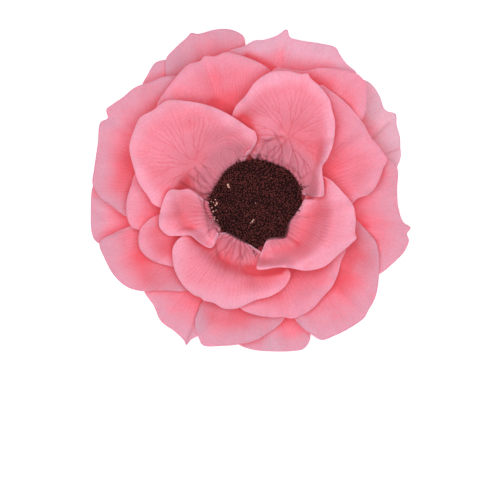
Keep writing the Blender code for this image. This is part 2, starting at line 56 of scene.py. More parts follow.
class Wire:
    """What a node gives. Sums written with wires add Math nodes to the tree they belong to."""

    def __init__(self, tree, socket):
        self.tree = tree
        self.socket = socket

    def math(self, operation, *values):
        return self.tree.node("ShaderNodeMath", {"operation": operation}, dict(enumerate(values)))

    def __add__(self, other):
        return self.math("ADD", self, other)

    def __radd__(self, other):
        return self.math("ADD", other, self)

    def __sub__(self, other):
        return self.math("SUBTRACT", self, other)

    def __rsub__(self, other):
        return self.math("SUBTRACT", other, self)

    def __mul__(self, other):
        return self.math("MULTIPLY", self, other)

    def __rmul__(self, other):
        return self.math("MULTIPLY", other, self)

    def __truediv__(self, other):
        return self.math("DIVIDE", self, other)

    def __pow__(self, other):
        return self.math("POWER", self, other)

    def __mod__(self, other):
        return self.math("MODULO", self, other)

    def __abs__(self):
        return self.math("ABSOLUTE", self)

    def __floor__(self):
        return self.math("FLOOR", self)

    def fraction(self):
        return self.math("FRACT", self)

    def sine(self):
        return self.math("SINE", self)

    def highest(self, other):
        return self.math("MAXIMUM", self, other)

    def between(self, first, second):
        """0 up to the first value, 1 from the second on, and a soft rise between them."""
        settings = {"interpolation_type": "SMOOTHSTEP"}
        sockets = {"Value": self, "From Min": first, "From Max": second}
        return self.tree.node("ShaderNodeMapRange", settings, sockets)

    def also(self, output):
        """Another output of the same node."""
        return Wire(self.tree, self.socket.node.outputs[output])


class Tree:
    """A node tree, of a material or of a growth, that is filled one node at a time."""

    def __init__(self, nodes):
        self.tree = nodes

    def node(self, kind, settings=None, sockets=None, output=0):
        """A node with its settings, then what feeds its sockets, by name or by number."""
        made = self.tree.nodes.new(kind)
        for name, value in (settings or {}).items():
            setattr(made, name, value)
        for name, value in (sockets or {}).items():
            self.feed(made.inputs[name], value)
        return Wire(self, made.outputs[output])

    def feed(self, socket, value):
        if isinstance(value, Wire):
            self.tree.links.new(value.socket, socket)
        else:
            socket.default_value = value

    def vectors(self, operation, *values, output="Vector", **sockets):
        """A Vector Math node of the given values."""
        sockets.update(enumerate(values))
        return self.node("ShaderNodeVectorMath", {"operation": operation}, sockets, output)

    def part(self, vector, axis):
        """A vector's X, Y or Z."""
        return self.node("ShaderNodeSeparateXYZ", None, {0: vector}, axis)


class Finish(Tree):
    """A material whose surface is one Principled shader."""

    def __init__(self, name, fixed):
        self.material = bpy.data.materials.new(name)
        self.material.use_nodes = True
        super().__init__(self.material.node_tree)
        self.surface = self.tree.nodes["Principled BSDF"]
        for socket, value in fixed.items():
            self.surface.inputs[socket].default_value = value

    def attribute(self, name):
        return self.node("ShaderNodeAttribute", {"attribute_name": name}, output="Fac")

    def place(self):
        """Object coordinates in millimetres."""
        where = self.node("ShaderNodeTexCoord", output="Object")
        return self.vectors("SCALE", where, Scale=1 / MM)

    def noise(self, place, size, detail=2.0, stretch=(1, 1, 1), output="Fac"):
        """Soft noise, 0 to 1, whose spots are about the given size."""
        spread = self.vectors("MULTIPLY", place, stretch)
        sockets = {"Vector": spread, "Scale": 0.6 / size, "Detail": detail}
        return self.node("ShaderNodeTexNoise", None, sockets, output)

    def mix(self, first, second, share):
        """A colour on its way from the first to the second."""
        settings = {"data_type": "RGBA", "clamp_factor": True}
        sockets = {0: share, 6: first, 7: second}
        return self.node("ShaderNodeMix", settings, sockets, output=2)

    def bump(self, height, depth):
        """Relief of a height from 0 to 1 that stands up to the given millimetres."""
        sockets = {"Height": height, "Distance": depth * MM, "Strength": 1.0}
        self.feed(self.surface.inputs["Normal"], self.node("ShaderNodeBump", None, sockets))

    def done(self, colour, roughness):
        self.feed(self.surface.inputs["Base Color"], colour)
        self.feed(self.surface.inputs["Roughness"], roughness)
        return self.material


def colour(red, green, blue):
    """A colour picked on the screen, 0 to 255, as light."""
    shares = [value / 255 for value in (red, green, blue)]
    return (*[s / 12.92 if s < 0.04045 else ((s + 0.055) / 1.055) ** 2.4 for s in shares], 1.0)


def shown(name, data):
    """A new object in the scene."""
    made = bpy.data.objects.new(name, data)
    bpy.context.scene.collection.objects.link(made)
    return made


def plain_mesh(holder, name):
    """The plain mesh that a holder's modifiers end in; the holder itself goes."""
    ready = holder.evaluated_get(bpy.context.evaluated_depsgraph_get())
    mesh = bpy.data.meshes.new_from_object(ready)
    mesh.name = name
    bpy.data.objects.remove(holder)
    return mesh


def turned_mesh(name, profile, steps):
    """The mesh of a profile turned round the axis, from the top down its outer side."""
    sketch = bpy.data.meshes.new(name + "_profile")
    points = [(radius * MM, 0, height * MM) for radius, height in profile]
    sketch.from_pydata(points, [(i, i + 1) for i in range(len(points) - 1)], [])
    holder = shown(name + "_profile", sketch)
    turn = holder.modifiers.new("turn", "SCREW")
    turn.steps = steps
    turn.render_steps = steps
    turn.use_merge_vertices = True
    turn.merge_threshold = 0.00001
    return plain_mesh(holder, name)


def mesh_places(mesh):
    """A mesh's vertices as rows of x, y and z in millimetres."""
    places = np.empty(len(mesh.vertices) * 3)
    mesh.vertices.foreach_get("co", places)
    return places.reshape(-1, 3) / MM


def move_mesh(mesh, places):
    """Puts a mesh's vertices at the given millimetres."""
    mesh.vertices.foreach_set("co", (places * MM).ravel())
    mesh.update()


def add_piece(name, mesh, material, slot, *nodes):
    """A piece of the head that stands for CAD nodes, in the given finish; its slot is not used."""
    mesh.materials.clear()
    mesh.materials.append(material)
    mesh.shade_smooth()
    piece = shown(name, mesh)
    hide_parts(*nodes)
    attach(piece, "root")


def flank_radius(height):
    """The receptacle's radius at a height on its flank."""
    return np.interp(height, (NECK_HEIGHT, SHOULDER_HEIGHT), (CUT_RADIUS + 0.2, SHOULDER_RADIUS))


flank = [(flank_radius(height), height) for height in np.linspace(SHOULDER_HEIGHT, NECK_HEIGHT, 18)]
stem_profile = [
    (0, TOP_HEIGHT),
    (SHOULDER_RADIUS - 0.7, TOP_HEIGHT),
    (SHOULDER_RADIUS - 0.1, TOP_HEIGHT - 0.2),
    *flank,
    (CUT_RADIUS + 0.15, 1.8),
    (CUT_RADIUS + 0.1, 0.5),
    (CUT_RADIUS - 0.05, 0.15),
    (CUT_RADIUS - 0.3, 0),
    (PITH_RADIUS, 0),
    (0, 0),
]
stem_mesh = turned_mesh("receptacle_stem", stem_profile, STEM_STEPS)
stem_places = mesh_places(stem_mesh)
turn_angle = np.arctan2(stem_places[:, 1], stem_places[:, 0])
rib = 0.5 - 0.5 * np.cos(STEM_RIBS * turn_angle + 0.35 * np.sin(stem_places[:, 2]))
on_flank = np.clip(stem_places[:, 2] / 2, 0, 1) * np.clip(TOP_HEIGHT - stem_places[:, 2], 0, 1)
stem_places[:, :2] *= (1 - RIB_DEPTH * rib * on_flank / SHOULDER_RADIUS)[:, None]
move_mesh(stem_mesh, stem_places)

stem = Finish("dry_stem_tissue", {"Specular IOR Level": 0.3})
spot = stem.place()
streaks = stem.noise(spot, 0.5, detail=3, stretch=(1, 1, 0.12))
blotches = stem.noise(spot, 3.0)
rind = stem.mix(colour(122, 124, 78), colour(92, 84, 52), streaks)
rind = stem.mix(rind, colour(146, 112, 84), blotches.between(0.45, 0.75))
pores = stem.node("ShaderNodeTexVoronoi", {"feature": "F1"}, {"Vector": spot, "Scale": 1.6})
pith = stem.mix(colour(196, 182, 140), colour(150, 132, 92), pores.between(0.25, 0.5))
from_axis = stem.vectors("LENGTH", stem.vectors("MULTIPLY", spot, (1, 1, 0)), output="Value")
on_cut = stem.part(spot, "Z").between(0.25, 0.1)
in_pith = from_axis.between(PITH_RADIUS + 0.4, PITH_RADIUS) * on_cut
stem.bump(streaks * 0.7 + pores * 0.3, 0.25)
stem_finish = stem.done(stem.mix(rind, pith, in_pith), 0.62 + 0.25 * blotches)
add_piece("receptacle_stem", stem_mesh, stem_finish, "receptacle", "receptacle")

# Outer ring: five broad preserved petals, soft and matt, whose narrow roots are glued lowest on
# the receptacle. Each is laid over the ones before it, as they are stacked by hand, so its height
# is worked out by draping it on a net of the heights that lie under it.

PETAL_THICKNESS = 0.6
BLADE_THICKNESS = 0.34
RIM_SHARE = 0.55
SEAT_GAP = 0.3
LAYER_GAP = 0.65

# A petal turns down at its margin, which waves; its sides stand above its middle, and its folds
# rise over the first part of its length
MARGIN_DROP = 0.8
MARGIN_WIDTH = 4.0
WAVE_HEIGHT = 0.5
WAVE_LENGTH = 11.0
WAVE_SHIFT = 1.9
SIDE_RISE = 1.4
FOLD_START = 0.33

# Steps across and along a petal, of which its mesh takes every second, and the net of heights
ACROSS = 240
ALONG = 120
STRIDE = 2
SHARE_ACROSS = np.linspace(0, 1, ACROSS + 1)[:, None]
SHARE_ALONG = np.linspace(0, 1, ALONG + 1)[None, :]
NET_STEP = 0.5
NET_HALF = 58.0
NET_KNOTS = int(2 * NET_HALF / NET_STEP) + 1
SOFT_RADIUS = 0.5
CLEAR_RADIUS = PETAL_THICKNESS + LAYER_GAP
ROOT_FREE = 3.0
EASE_REACH = 5
EASE_ROUNDS = 12
NOTHING_ABOVE = 60.0

# The boss overhangs the inner petals, whose roots are tucked in under its outline
BOSS_RADIUS = 12.7
BOSS_RIM = 3.2
BOSS_OVERHANG = 0.6
RIM_DEPTH = 0.8
BASE_TUCK = 0.94
BOSS_OUTLINE = [(0, 12.9), (22, 13.4), (43, 13.4), (64, 12.5), (90, 12.6), (126, 12.7),
                (150, 12.3), (180, 13.1), (205, 11.6), (219, 11.8), (230, 10.8), (240, 10.5),
                (250, 10.7), (261, 11.6), (270, 12.3), (285, 10.9), (290, 10.1), (300, 10.5),
                (311, 12.0), (317, 11.6), (330, 10.5), (341, 10.9), (351, 12.4)]


def plan_points(places):
    """(degrees, millimetres) round the axis, as x and y."""
    angles = np.radians([angle for angle, _ in places])
    lengths = np.array([length for _, length in places])
    return np.column_stack((lengths * np.cos(angles), lengths * np.sin(angles)))


def smooth_curve(points, cells, per_span=24):
    """A Catmull-Rom curve through points, cut at even lengths into the given number of cells."""
    points = np.asarray(points, float)
    gaps = np.linalg.norm(np.diff(points, axis=0), axis=1)
    knots = np.concatenate(([0], np.cumsum(np.sqrt(gaps))))
    slopes = np.gradient(points, knots, axis=0)
    dense = []
    for i in range(len(points) - 1):
        span = knots[i + 1] - knots[i]
        u = np.linspace(0, 1, per_span, endpoint=False)[:, None]
        dense.append(
            (2 * u**3 - 3 * u**2 + 1) * points[i]
            + (u**3 - 2 * u**2 + u) * span * slopes[i]
            + (3 * u**2 - 2 * u**3) * points[i + 1]
            + (u**3 - u**2) * span * slopes[i + 1]
        )
    dense = np.vstack(dense + [points[-1:]])
    lengths = np.concatenate(([0], np.cumsum(np.linalg.norm(np.diff(dense, axis=0), axis=1))))
    even = np.linspace(0, lengths[-1], cells + 1)
    return np.column_stack([np.interp(even, lengths, dense[:, k]) for k in range(dense.shape[1])])


def distance_to_line(plan, places):
    """How far each place of a petal lies, in plan, from a line through the given places."""
    corners = plan_points(places)
    nearest = np.full(plan.shape[:2], np.inf)
    for start, end in zip(corners[:-1], corners[1:]):
        run = end - start
        along = np.clip(((plan - start) @ run) / (run @ run), 0, 1)
        nearest = np.minimum(nearest, np.linalg.norm(plan - start - along[..., None] * run, axis=2))
    return nearest


def soft_lines(plan, lines):
    """The sum, at each place of a petal, of soft lines of (places, amount, width)."""
    total = np.zeros(plan.shape[:2])
    for line, amount, width in lines:
        total += amount * np.exp(-((distance_to_line(plan, line) / width) ** 2))
    return total


def net_places(radius):
    """Steps on the net that stay inside a radius, with their distances."""
    reach = int(radius / NET_STEP)
    for i in range(-reach, reach + 1):
        for j in range(-reach, reach + 1):
            distance = math.hypot(i, j) * NET_STEP
            if distance <= radius:
                yield (i, j), distance


def raised(net, radius, round_top):
    """The highest of the net round each place; a round top adds a ball's height over it."""
    result = net.copy()
    for step, distance in net_places(radius):
        rise = math.sqrt(radius**2 - distance**2) if round_top else 0.0
        result = np.maximum(result, np.roll(net, step, (0, 1)) + rise)
    return result


def softened(net, radius):
    """The mean of the net round each place."""
    steps = [step for step, _ in net_places(radius)]
    return sum(np.roll(net, step, (0, 1)) for step in steps) / len(steps)


def cover(net):
    """A soft surface that lies a clear layer above the net."""
    return softened(raised(raised(net, CLEAR_RADIUS, True), SOFT_RADIUS, False), SOFT_RADIUS)


def read_net(net, plan):
    """The net's height at places of a petal, between its knots."""
    places = np.clip((plan + NET_HALF) / NET_STEP, 0, NET_KNOTS - 2)
    low = np.floor(places).astype(int)
    part = places - low
    i, j = low[..., 0], low[..., 1]
    u, v = part[..., 0], part[..., 1]
    near = net[i, j] * (1 - u) + net[i + 1, j] * u
    far = net[i, j + 1] * (1 - u) + net[i + 1, j + 1] * u
    return near * (1 - v) + far * v


def press_on_net(net, plan, heights, highest):
    """Takes a laid petal into the net, as its highest or its lowest surface."""
    knots = np.rint((plan + NET_HALF) / NET_STEP).astype(int)
    pick = np.maximum if highest else np.minimum
    pick.at(net, (knots[..., 0], knots[..., 1]), heights)


def eased(values, reach):
    """The mean of a petal's values over neighbouring places, both ways."""
    for axis in (0, 1):
        pad = [(0, 0), (0, 0)]
        pad[axis] = (reach + 1, reach)
        total = np.cumsum(np.pad(values, pad, mode="edge"), axis=axis)
        count = values.shape[axis]
        ahead = np.take(total, range(2 * reach + 1, 2 * reach + 1 + count), axis=axis)
        behind = np.take(total, range(count), axis=axis)
        values = (ahead - behind) / (2 * reach + 1)
    return values


def free_heights(petal, index, plan, inset, margin_length):
    """A petal's heights before it meets its neighbours."""
    profile = smooth_curve(petal["profile"], ACROSS)
    radii = np.linalg.norm(plan, axis=2)
    heights = np.interp(radii, profile[:, 0], profile[:, 1])
    heights += SIDE_RISE * (2 * SHARE_ACROSS - 1) ** 2 * SHARE_ALONG
    heights += soft_lines(plan, petal.get("folds", ())) * np.minimum(1, SHARE_ALONG / FOLD_START)
    edge = np.clip(1 - inset / MARGIN_WIDTH, 0, 1)
    heights -= petal.get("drop", MARGIN_DROP) * edge**2
    waves = 2 * math.pi * SHARE_ACROSS * round(margin_length / WAVE_LENGTH)
    heights += WAVE_HEIGHT * np.sin(waves + WAVE_SHIFT * index) * SHARE_ALONG**3
    return heights


def root_line(petal):
    """Where a petal's base is glued. A root of two angles lies on the receptacle's flank, and one
    of places under the boss's florets."""
    if len(petal["root"]) > 2:
        return smooth_curve(plan_points(petal["root"]), ACROSS) * BASE_TUCK
    radius = flank_radius(petal["profile"][0][1]) + SEAT_GAP + PETAL_THICKNESS / 2
    return plan_points([(angle, radius) for angle in np.linspace(*petal["root"], ACROSS + 1)])


def boss_ceiling(petal):
    """The net of the boss's underside, for a petal whose root it overhangs."""
    steps = np.linspace(-NET_HALF, NET_HALF, NET_KNOTS)
    flat = steps[:, None] + 1j * steps[None, :]
    outline = np.interp(np.degrees(np.angle(flat)), *zip(*BOSS_OUTLINE), period=360)
    overhung = (np.abs(flat) < outline + BOSS_OVERHANG) & (len(petal["root"]) == 2)
    return np.where(overhung, TOP_HEIGHT + BOSS_RIM - RIM_DEPTH, NOTHING_ABOVE)


laid = {}
ring_rise = {}


def lay_petal(name, **petal):
    """Drapes a petal over the ones laid before it, and notes its places and its nets.

    Its root and margin run anticlockwise, in degrees and millimetres round the axis. Its profile
    gives heights by distance from the axis. Folds raise it along lines, each with a height and a
    width. Painted shading lines paint shade into its colour, or painted light where their share is
    negative, and shaded creases paint dark shade along its creases, each with a share and a width.
    It may also say how far its claw reaches, its pleats, how wide its margin is pale, the hub that
    its veins run out from, what it is tucked under, and how many layers it clears.
    """
    ring = name.split("_")[1]
    petal.setdefault("profile", ring_rise.get(ring))
    margin = smooth_curve(plan_points(petal["margin"]), ACROSS)
    root = root_line(petal)
    plan = root[:, None] + (margin - root)[:, None] * SHARE_ALONG[..., None]
    spoke = np.linalg.norm(margin - root, axis=1)[:, None]
    inset = spoke * (1 - SHARE_ALONG)
    margin_length = np.linalg.norm(np.diff(margin, axis=0), axis=1).sum()
    free = free_heights(petal, len(laid), plan, inset, margin_length)
    below = np.zeros((NET_KNOTS, NET_KNOTS))
    above = boss_ceiling(petal)
    for neighbour, other in laid.items():
        if neighbour in petal.get("under", ()):
            above = np.minimum(above, other["lowest"])
        else:
            below = np.maximum(below, other["highest"])
    for _ in range(petal.get("layers", 1)):
        below = cover(below)
    needed = np.maximum(0, read_net(below, plan) - free)
    lift = needed
    for _ in range(EASE_ROUNDS):
        lift = np.maximum(needed, eased(lift, EASE_REACH))
    root_ease = np.clip(spoke * SHARE_ALONG / ROOT_FREE, 0, 1)
    heights = free + lift * root_ease * root_ease * (3 - 2 * root_ease)
    heights = np.minimum(heights, -read_net(cover(-above), plan))
    lowest = np.full((NET_KNOTS, NET_KNOTS), NOTHING_ABOVE)
    highest = np.zeros((NET_KNOTS, NET_KNOTS))
    press_on_net(highest, plan, heights, True)
    press_on_net(lowest, plan, heights, False)
    laid[name] = {
        "petal": petal,
        "ring": ring,
        "index": len(laid),
        "places": np.dstack((plan, heights)),
        "spoke": spoke,
        "margin_length": margin_length,
        "highest": highest,
        "lowest": lowest,
    }


ring_rise["outer"] = [(6, 4.2), (14, 5.4), (25, 7.6), (35, 9.6), (45, 11.0), (53, 11.4)]
lay_petal(
    "petal_outer_1", root=(126, 148),
    margin=[(113, 38), (114, 44), (121.2, 47.7), (125.1, 48.9), (130, 47.5), (133.5, 46.4),
            (139, 43), (142, 37)],
)
lay_petal(
    "petal_outer_2", root=(88, 112),
    margin=[(85, 36), (88, 41.5), (93.6, 44.9), (94.1, 47.5), (97.9, 49.7), (103, 50.6),
            (108.7, 50.8), (110.6, 51.7), (112.5, 50.9), (117.5, 49.5), (121.4, 48.2),
            (125, 44), (126, 38)],
    folds=[([(108, 24), (110.5, 50)], -0.8, 2.2), ([(99, 30), (100, 48)], 0.7, 4.0)],
)
lay_petal(
    "petal_outer_3", root=(20, 44),
    margin=[(8, 34), (10, 38.5), (14.9, 41.2), (18.7, 43.2), (21.5, 43.8), (25, 44.8),
            (29.4, 45.6), (33.1, 47), (35, 45.7), (37, 45.2), (41.6, 46.5), (47.2, 47),
            (51, 45.4), (55, 38)],
    folds=[([(30, 24), (30, 46)], -0.9, 2.0), ([(22, 28), (21.5, 44)], -0.8, 1.6),
           ([(36, 28), (36, 45)], -0.7, 2.0)],
    flush=[([(14, 40), (30, 42), (46, 45)], -1.0, 4.5)], margin_tint=(206, 178, 193),
    creases=[([(30, 30), (29, 37), (31.5, 44)], 0.3, 0.5), ([(21, 31), (21.4, 43)], 0.35, 0.5)],
)
lay_petal(
    "petal_outer_4", root=(172, 196),
    margin=[(163, 38), (166, 43), (172.8, 46), (181.7, 46.4), (190.9, 46.7), (193.6, 45.6),
            (196, 42), (199, 36)],
    flush=[([(176, 43), (186, 43)], -0.4, 2.5)],
)
lay_petal(
    "petal_outer_5", root=(268, 292),
    margin=[(254, 33), (257, 37), (263.4, 39.7), (268.4, 40.7), (276.5, 41.5), (285.4, 42.6),
            (288.5, 42.7), (291.5, 41.2), (294, 38), (298, 33)],
    folds=[([(276, 20), (277, 41)], 0.8, 4.0)],
    flush=[([(276, 34), (277, 41)], -0.4, 2.0)],
)

# Third ring: seven large petals above the outer ones. They make most of the head's outline, and
# their tips are nicked and slightly curled.

ring_rise["third"] = [(8, 7.0), (14, 8.6), (20, 10.2), (30, 12.8), (40, 15.2), (51, 16.4)]
lay_petal(
    "petal_third_1", root=(224, 244),
    margin=[(209, 32), (212, 37), (217.8, 39.6), (224.5, 40.2), (230.8, 42.1), (237.3, 42.2),
            (242.4, 43.2), (243.7, 44), (244.2, 42.3), (246.5, 40), (251, 36), (255, 30)],
    folds=[([(242, 18), (243.5, 43)], -0.9, 2.0), ([(228, 24), (228, 40)], 0.8, 4.0)],
    flush=[([(242, 32), (243.5, 42)], -0.35, 2.2)],
    creases=[([(241, 32), (242.5, 38), (243.6, 43.6)], 0.3, 0.4)],
)
lay_petal(
    "petal_third_2", root=(258, 278),
    margin=[(241, 32), (242.5, 37), (246.5, 40.4), (249.5, 42.1), (256.1, 40.8),
            (262.5, 39.6), (269.7, 38.1), (276.5, 35.9), (282.6, 33.7), (288, 30.5),
            (290, 26)],
    folds=[([(255, 20), (252, 41)], 0.9, 4.5)],
    flush=[([(250, 34), (264, 33.5)], 0.55, 2.6)],
)
lay_petal(
    "petal_third_3", root=(344, 364),
    margin=[(325, 30), (327, 36.5), (331, 39.8), (336.7, 41.8), (342.5, 43.7), (347.1, 44.1),
            (349, 43.2), (351.6, 44), (353.2, 41.8), (358, 40.2), (364.9, 39.8),
            (374.9, 41), (379, 39), (382.5, 35), (383, 29)],
    folds=[([(350, 18), (352, 43)], -0.9, 2.0), ([(366, 22), (368, 38)], 1.0, 4.5)],
    flush=[([(352, 32), (358, 32)], -0.3, 3.0), ([(350, 29.2), (349, 32)], 0.7, 1.0)],
)
lay_petal(
    "petal_third_4", root=(305, 327),
    margin=[(287, 31), (290.5, 36.5), (293.8, 40.2), (296, 42.2), (301.4, 42.9),
            (307.2, 43.5), (313.8, 44), (316.6, 43.4), (322.4, 42.4), (329.1, 40.2),
            (335.6, 38), (342.4, 35.5), (347.8, 31.2), (351.8, 28.4), (354, 24)],
    folds=[([(314, 20), (314, 43)], -1.0, 2.2), ([(327, 26), (327, 39)], 1.2, 5.0),
           ([(300, 28), (300, 42)], 0.8, 4.0)],
    flush=[([(316, 34), (322, 35)], 0.55, 3.2), ([(322, 31), (334, 30.4)], 0.9, 2.6),
           ([(304, 35), (310, 35)], -0.4, 2.5), ([(341, 33), (333, 36)], 0.45, 2.8)],
)
lay_petal(
    "petal_third_5", root=(190, 210),
    margin=[(187, 28), (189.5, 35), (191.5, 41), (193.7, 45), (199.2, 45), (206.9, 44.3),
            (212.8, 42.7), (217.8, 39.6), (223.4, 35), (229.7, 31.8), (236, 28), (238, 23)],
    folds=[([(206, 22), (208, 43)], 1.2, 5.0), ([(193, 30), (195, 43)], 1.0, 2.5)],
    flush=[([(204, 37.5), (214, 37)], 0.45, 4.2), ([(192, 35), (196, 38)], -0.35, 2.5),
           ([(208, 35), (215, 36.5), (222, 33)], 0.36, 3.6)],
)
lay_petal(
    "petal_third_6", root=(137, 157),
    margin=[(112, 33), (115, 39), (121.7, 42.4), (126.1, 44.3), (130, 45.2), (135.9, 47.2),
            (140.9, 47.9), (145.6, 49.3), (147.4, 49.8), (149.8, 48.1), (152, 49.3),
            (158.8, 47.5), (167.2, 46.4), (172.8, 46.1), (177.5, 43.5), (180, 40.8),
            (185.2, 36.4), (187, 31), (183, 25)],
    folds=[([(149, 20), (149.5, 48)], -1.1, 2.2), ([(165, 24), (167, 45)], 1.1, 4.5),
           ([(128, 30), (129, 44)], 0.9, 4.0)],
    flush=[([(163, 39), (172, 39)], 0.6, 3.2), ([(149, 36), (150, 45)], -0.5, 3.0)],
)
lay_petal(
    "petal_third_7", root=(67, 89),
    margin=[(48, 37), (49.5, 42.5), (52.4, 46.4), (57, 47), (60.6, 48.2), (63, 49.4),
            (67.7, 48.8), (74.7, 47.8), (78.4, 48), (79.9, 50), (82.8, 47.9), (87.6, 46.2),
            (90.2, 46.1), (93.9, 44.7), (101, 43.4), (106, 39.5), (107, 33)],
    folds=[([(79, 22), (79.5, 48)], -0.4, 2.0), ([(64, 30), (65, 48)], 0.9, 4.0)],
    flush=[([(58, 46), (74, 43.5), (86, 43)], -0.7, 4.5), ([(79.4, 38), (79.5, 48)], -0.35, 1.6),
           ([(83, 38.6), (87, 40.4), (93, 41.8)], 1.0, 1.2)],
    margin_tint=(213, 171, 190),
)

# Second ring: seven petals that fill the head between the third ring and the inner one, glued
# high on the receptacle's flank. One of them is almost hidden under the two lowest inner petals.

ring_rise["second"] = [(9, 9.8), (14, 11.8), (20, 14.0), (28, 16.8), (34, 19.0), (40, 20.4),
                       (48, 20.8)]
SECOND_DIP = [(9, 9.8), (14, 10.4), (19, 11.2), (24, 13.6), (29, 16.6), (35, 18.4)]
lay_petal(
    "petal_second_1", root=(162, 182),
    margin=[(149, 27), (155, 32), (165, 34.8), (171.7, 35.3), (178, 36.1), (185.2, 36.2),
            (190.3, 35.2), (193, 32.5), (198, 28), (196, 22)],
    folds=[([(176, 22), (178, 35)], 1.0, 4.0)],
)
lay_petal(
    "petal_second_2", root=(202, 222),
    margin=[(183, 22), (186.5, 28.5), (191.2, 32.5), (195.2, 33.9), (201.1, 34.6),
            (207.7, 33.2), (213.6, 30.5), (219, 28), (226, 26), (231, 22)],
    folds=[([(200, 22), (200, 33)], 1.2, 4.0)],
    flush=[([(196, 30), (206, 30)], 0.55, 2.8)],
)
lay_petal(
    "petal_second_3", root=(256, 276), profile=SECOND_DIP,
    margin=[(240, 17), (246, 22), (254, 25.5), (264, 27), (275, 26.5), (284, 24), (289, 18)],
)
lay_petal(
    "petal_second_4", root=(286, 308), profile=SECOND_DIP,
    margin=[(254, 22), (257, 26.5), (261.5, 29.3), (267, 30.5), (277.4, 31.8),
            (283.8, 32.4), (287.9, 33.5), (297.2, 33.3), (306.8, 31.9), (313, 31.4),
            (320, 30.1), (326.8, 28.7), (333.8, 28.2), (340, 26), (342, 21)],
    folds=[([(288, 16), (288, 32)], -1.0, 2.5), ([(270, 22), (270, 29)], 1.0, 4.0)],
)
lay_petal(
    "petal_second_5", root=(102, 122),
    margin=[(77, 28), (80, 34.5), (84.1, 37.9), (87.9, 39.4), (94.5, 41.5), (101.3, 43.4),
            (105.4, 43), (109, 44), (111.2, 43.1), (115.8, 43.4), (121.8, 42.1),
            (128.9, 40.5), (135.1, 39.1), (141, 35), (142, 28)],
    folds=[([(109, 24), (109, 43)], -0.9, 2.0), ([(122, 28), (122, 41)], 0.9, 4.5),
           ([(95, 28), (97, 41)], 0.9, 4.0)],
    flush=[([(104.7, 26.8), (113, 31)], 1.0, 1.2)],
)
lay_petal(
    "petal_second_6", root=(54, 74),
    margin=[(37.5, 31), (38, 36), (39.8, 39.6), (44.2, 43.3), (47, 45.4), (50.3, 46.3),
            (53.2, 46.1), (59.1, 44.2), (64.2, 42.5), (70, 39.8), (77.2, 39), (81.5, 38.5),
            (86, 35), (88, 29)],
    folds=[([(50, 28), (50, 45)], -1.0, 2.2), ([(66, 28), (66, 41)], 1.0, 4.0)],
    flush=[([(66, 39.4), (58, 39.4)], 0.5, 1.8)],
)
lay_petal(
    "petal_second_7", root=(13, 35),
    margin=[(351, 20), (356, 24.5), (360.6, 27.1), (363.5, 28.6), (365.5, 32.1),
            (371, 35.1), (376, 37.2), (378.9, 38.9), (382.8, 38.5), (390.7, 37.4),
            (397.6, 37.7), (408.8, 38), (417.6, 38.1), (421.1, 38.2), (423, 36), (421, 30)],
    folds=[([(24, 16), (21, 38)], -1.0, 2.4), ([(38, 24), (42, 37)], 1.1, 5.0),
           ([(7, 24), (10, 33)], 0.9, 3.5)],
    flush=[([(12, 26), (18, 28)], -0.35, 3.0)],
)

# Inner ring: five petals cupped round the boss. Three have mauve, wrinkled claws tucked under its
# edge; the two lowest ones end among its florets with their bases and are rolled outwards.

INNER_DROP = 0.5
lay_petal(
    "petal_inner_1", drop=INNER_DROP, root=(17, 84), layers=2, claw=9.5, pleats=(11, 0.22),
    hub=(64, 21.5),
    profile=[(11, 12.8), (13, 14.4), (16, 14.8), (20, 15.6), (24, 18.6), (28, 23.0),
             (32, 26.0), (36, 27.4), (40, 27.6)],
    margin=[(11, 15.4), (7, 17.4), (7.5, 19.2), (12.7, 19.6), (18, 20), (24, 20.4),
            (29.9, 21.5), (32.7, 23.9), (39.3, 28.1), (46.2, 31.9), (51.2, 33.9), (54.8, 35.7),
            (61, 37.3), (66.4, 38.3), (68.5, 39.2), (70.6, 38.5), (76.4, 38.2), (83.7, 37),
            (90, 34.2), (95.5, 30.4), (102.2, 27.6), (106, 24), (103, 18)],
    folds=[([(8, 18), (17, 19.2), (25, 20.4), (31, 22.5), (38, 26)], 5.5, 2.6),
           ([(69, 20.3), (52, 15.3)], -1.1, 0.7), ([(83, 18), (87, 13.4)], -0.9, 0.6),
           ([(76, 18.6), (71, 14)], -0.7, 0.6), ([(58, 18.4), (26, 13.9)], -0.8, 0.7),
           ([(84, 18.6), (77, 19.4), (69, 21)], 0.9, 0.8),
           ([(92, 20), (90, 31)], 1.2, 4.0)],
    flush=[([(38, 21.5), (50, 22), (62, 22)], 0.4, 3.5), ([(72, 34), (80, 34)], -0.3, 3.0),
           ([(22, 20.2), (32, 23), (42, 29.6), (50, 33)], -0.5, 1.8),
           ([(94, 21.6), (98, 24.5)], 0.6, 1.6), ([(15, 16.5), (28, 18.5)], 0.3, 1.5)],
    creases=[([(87, 13.2), (84, 15.6), (82, 17.2), (76, 19.2)], 0.5, 0.35),
             ([(75, 20.6), (70, 18.9), (65, 17.8), (61, 16), (57, 13.2)], 0.5, 0.35),
             ([(79, 17), (77, 15), (77, 13)], 0.35, 0.3),
             ([(72, 17.4), (70, 15), (67, 13)], 0.35, 0.3),
             ([(52, 17), (46, 15.4), (40, 13.6)], 0.3, 0.35),
             ([(93, 16.4), (94, 13)], 0.4, 0.35)],
)
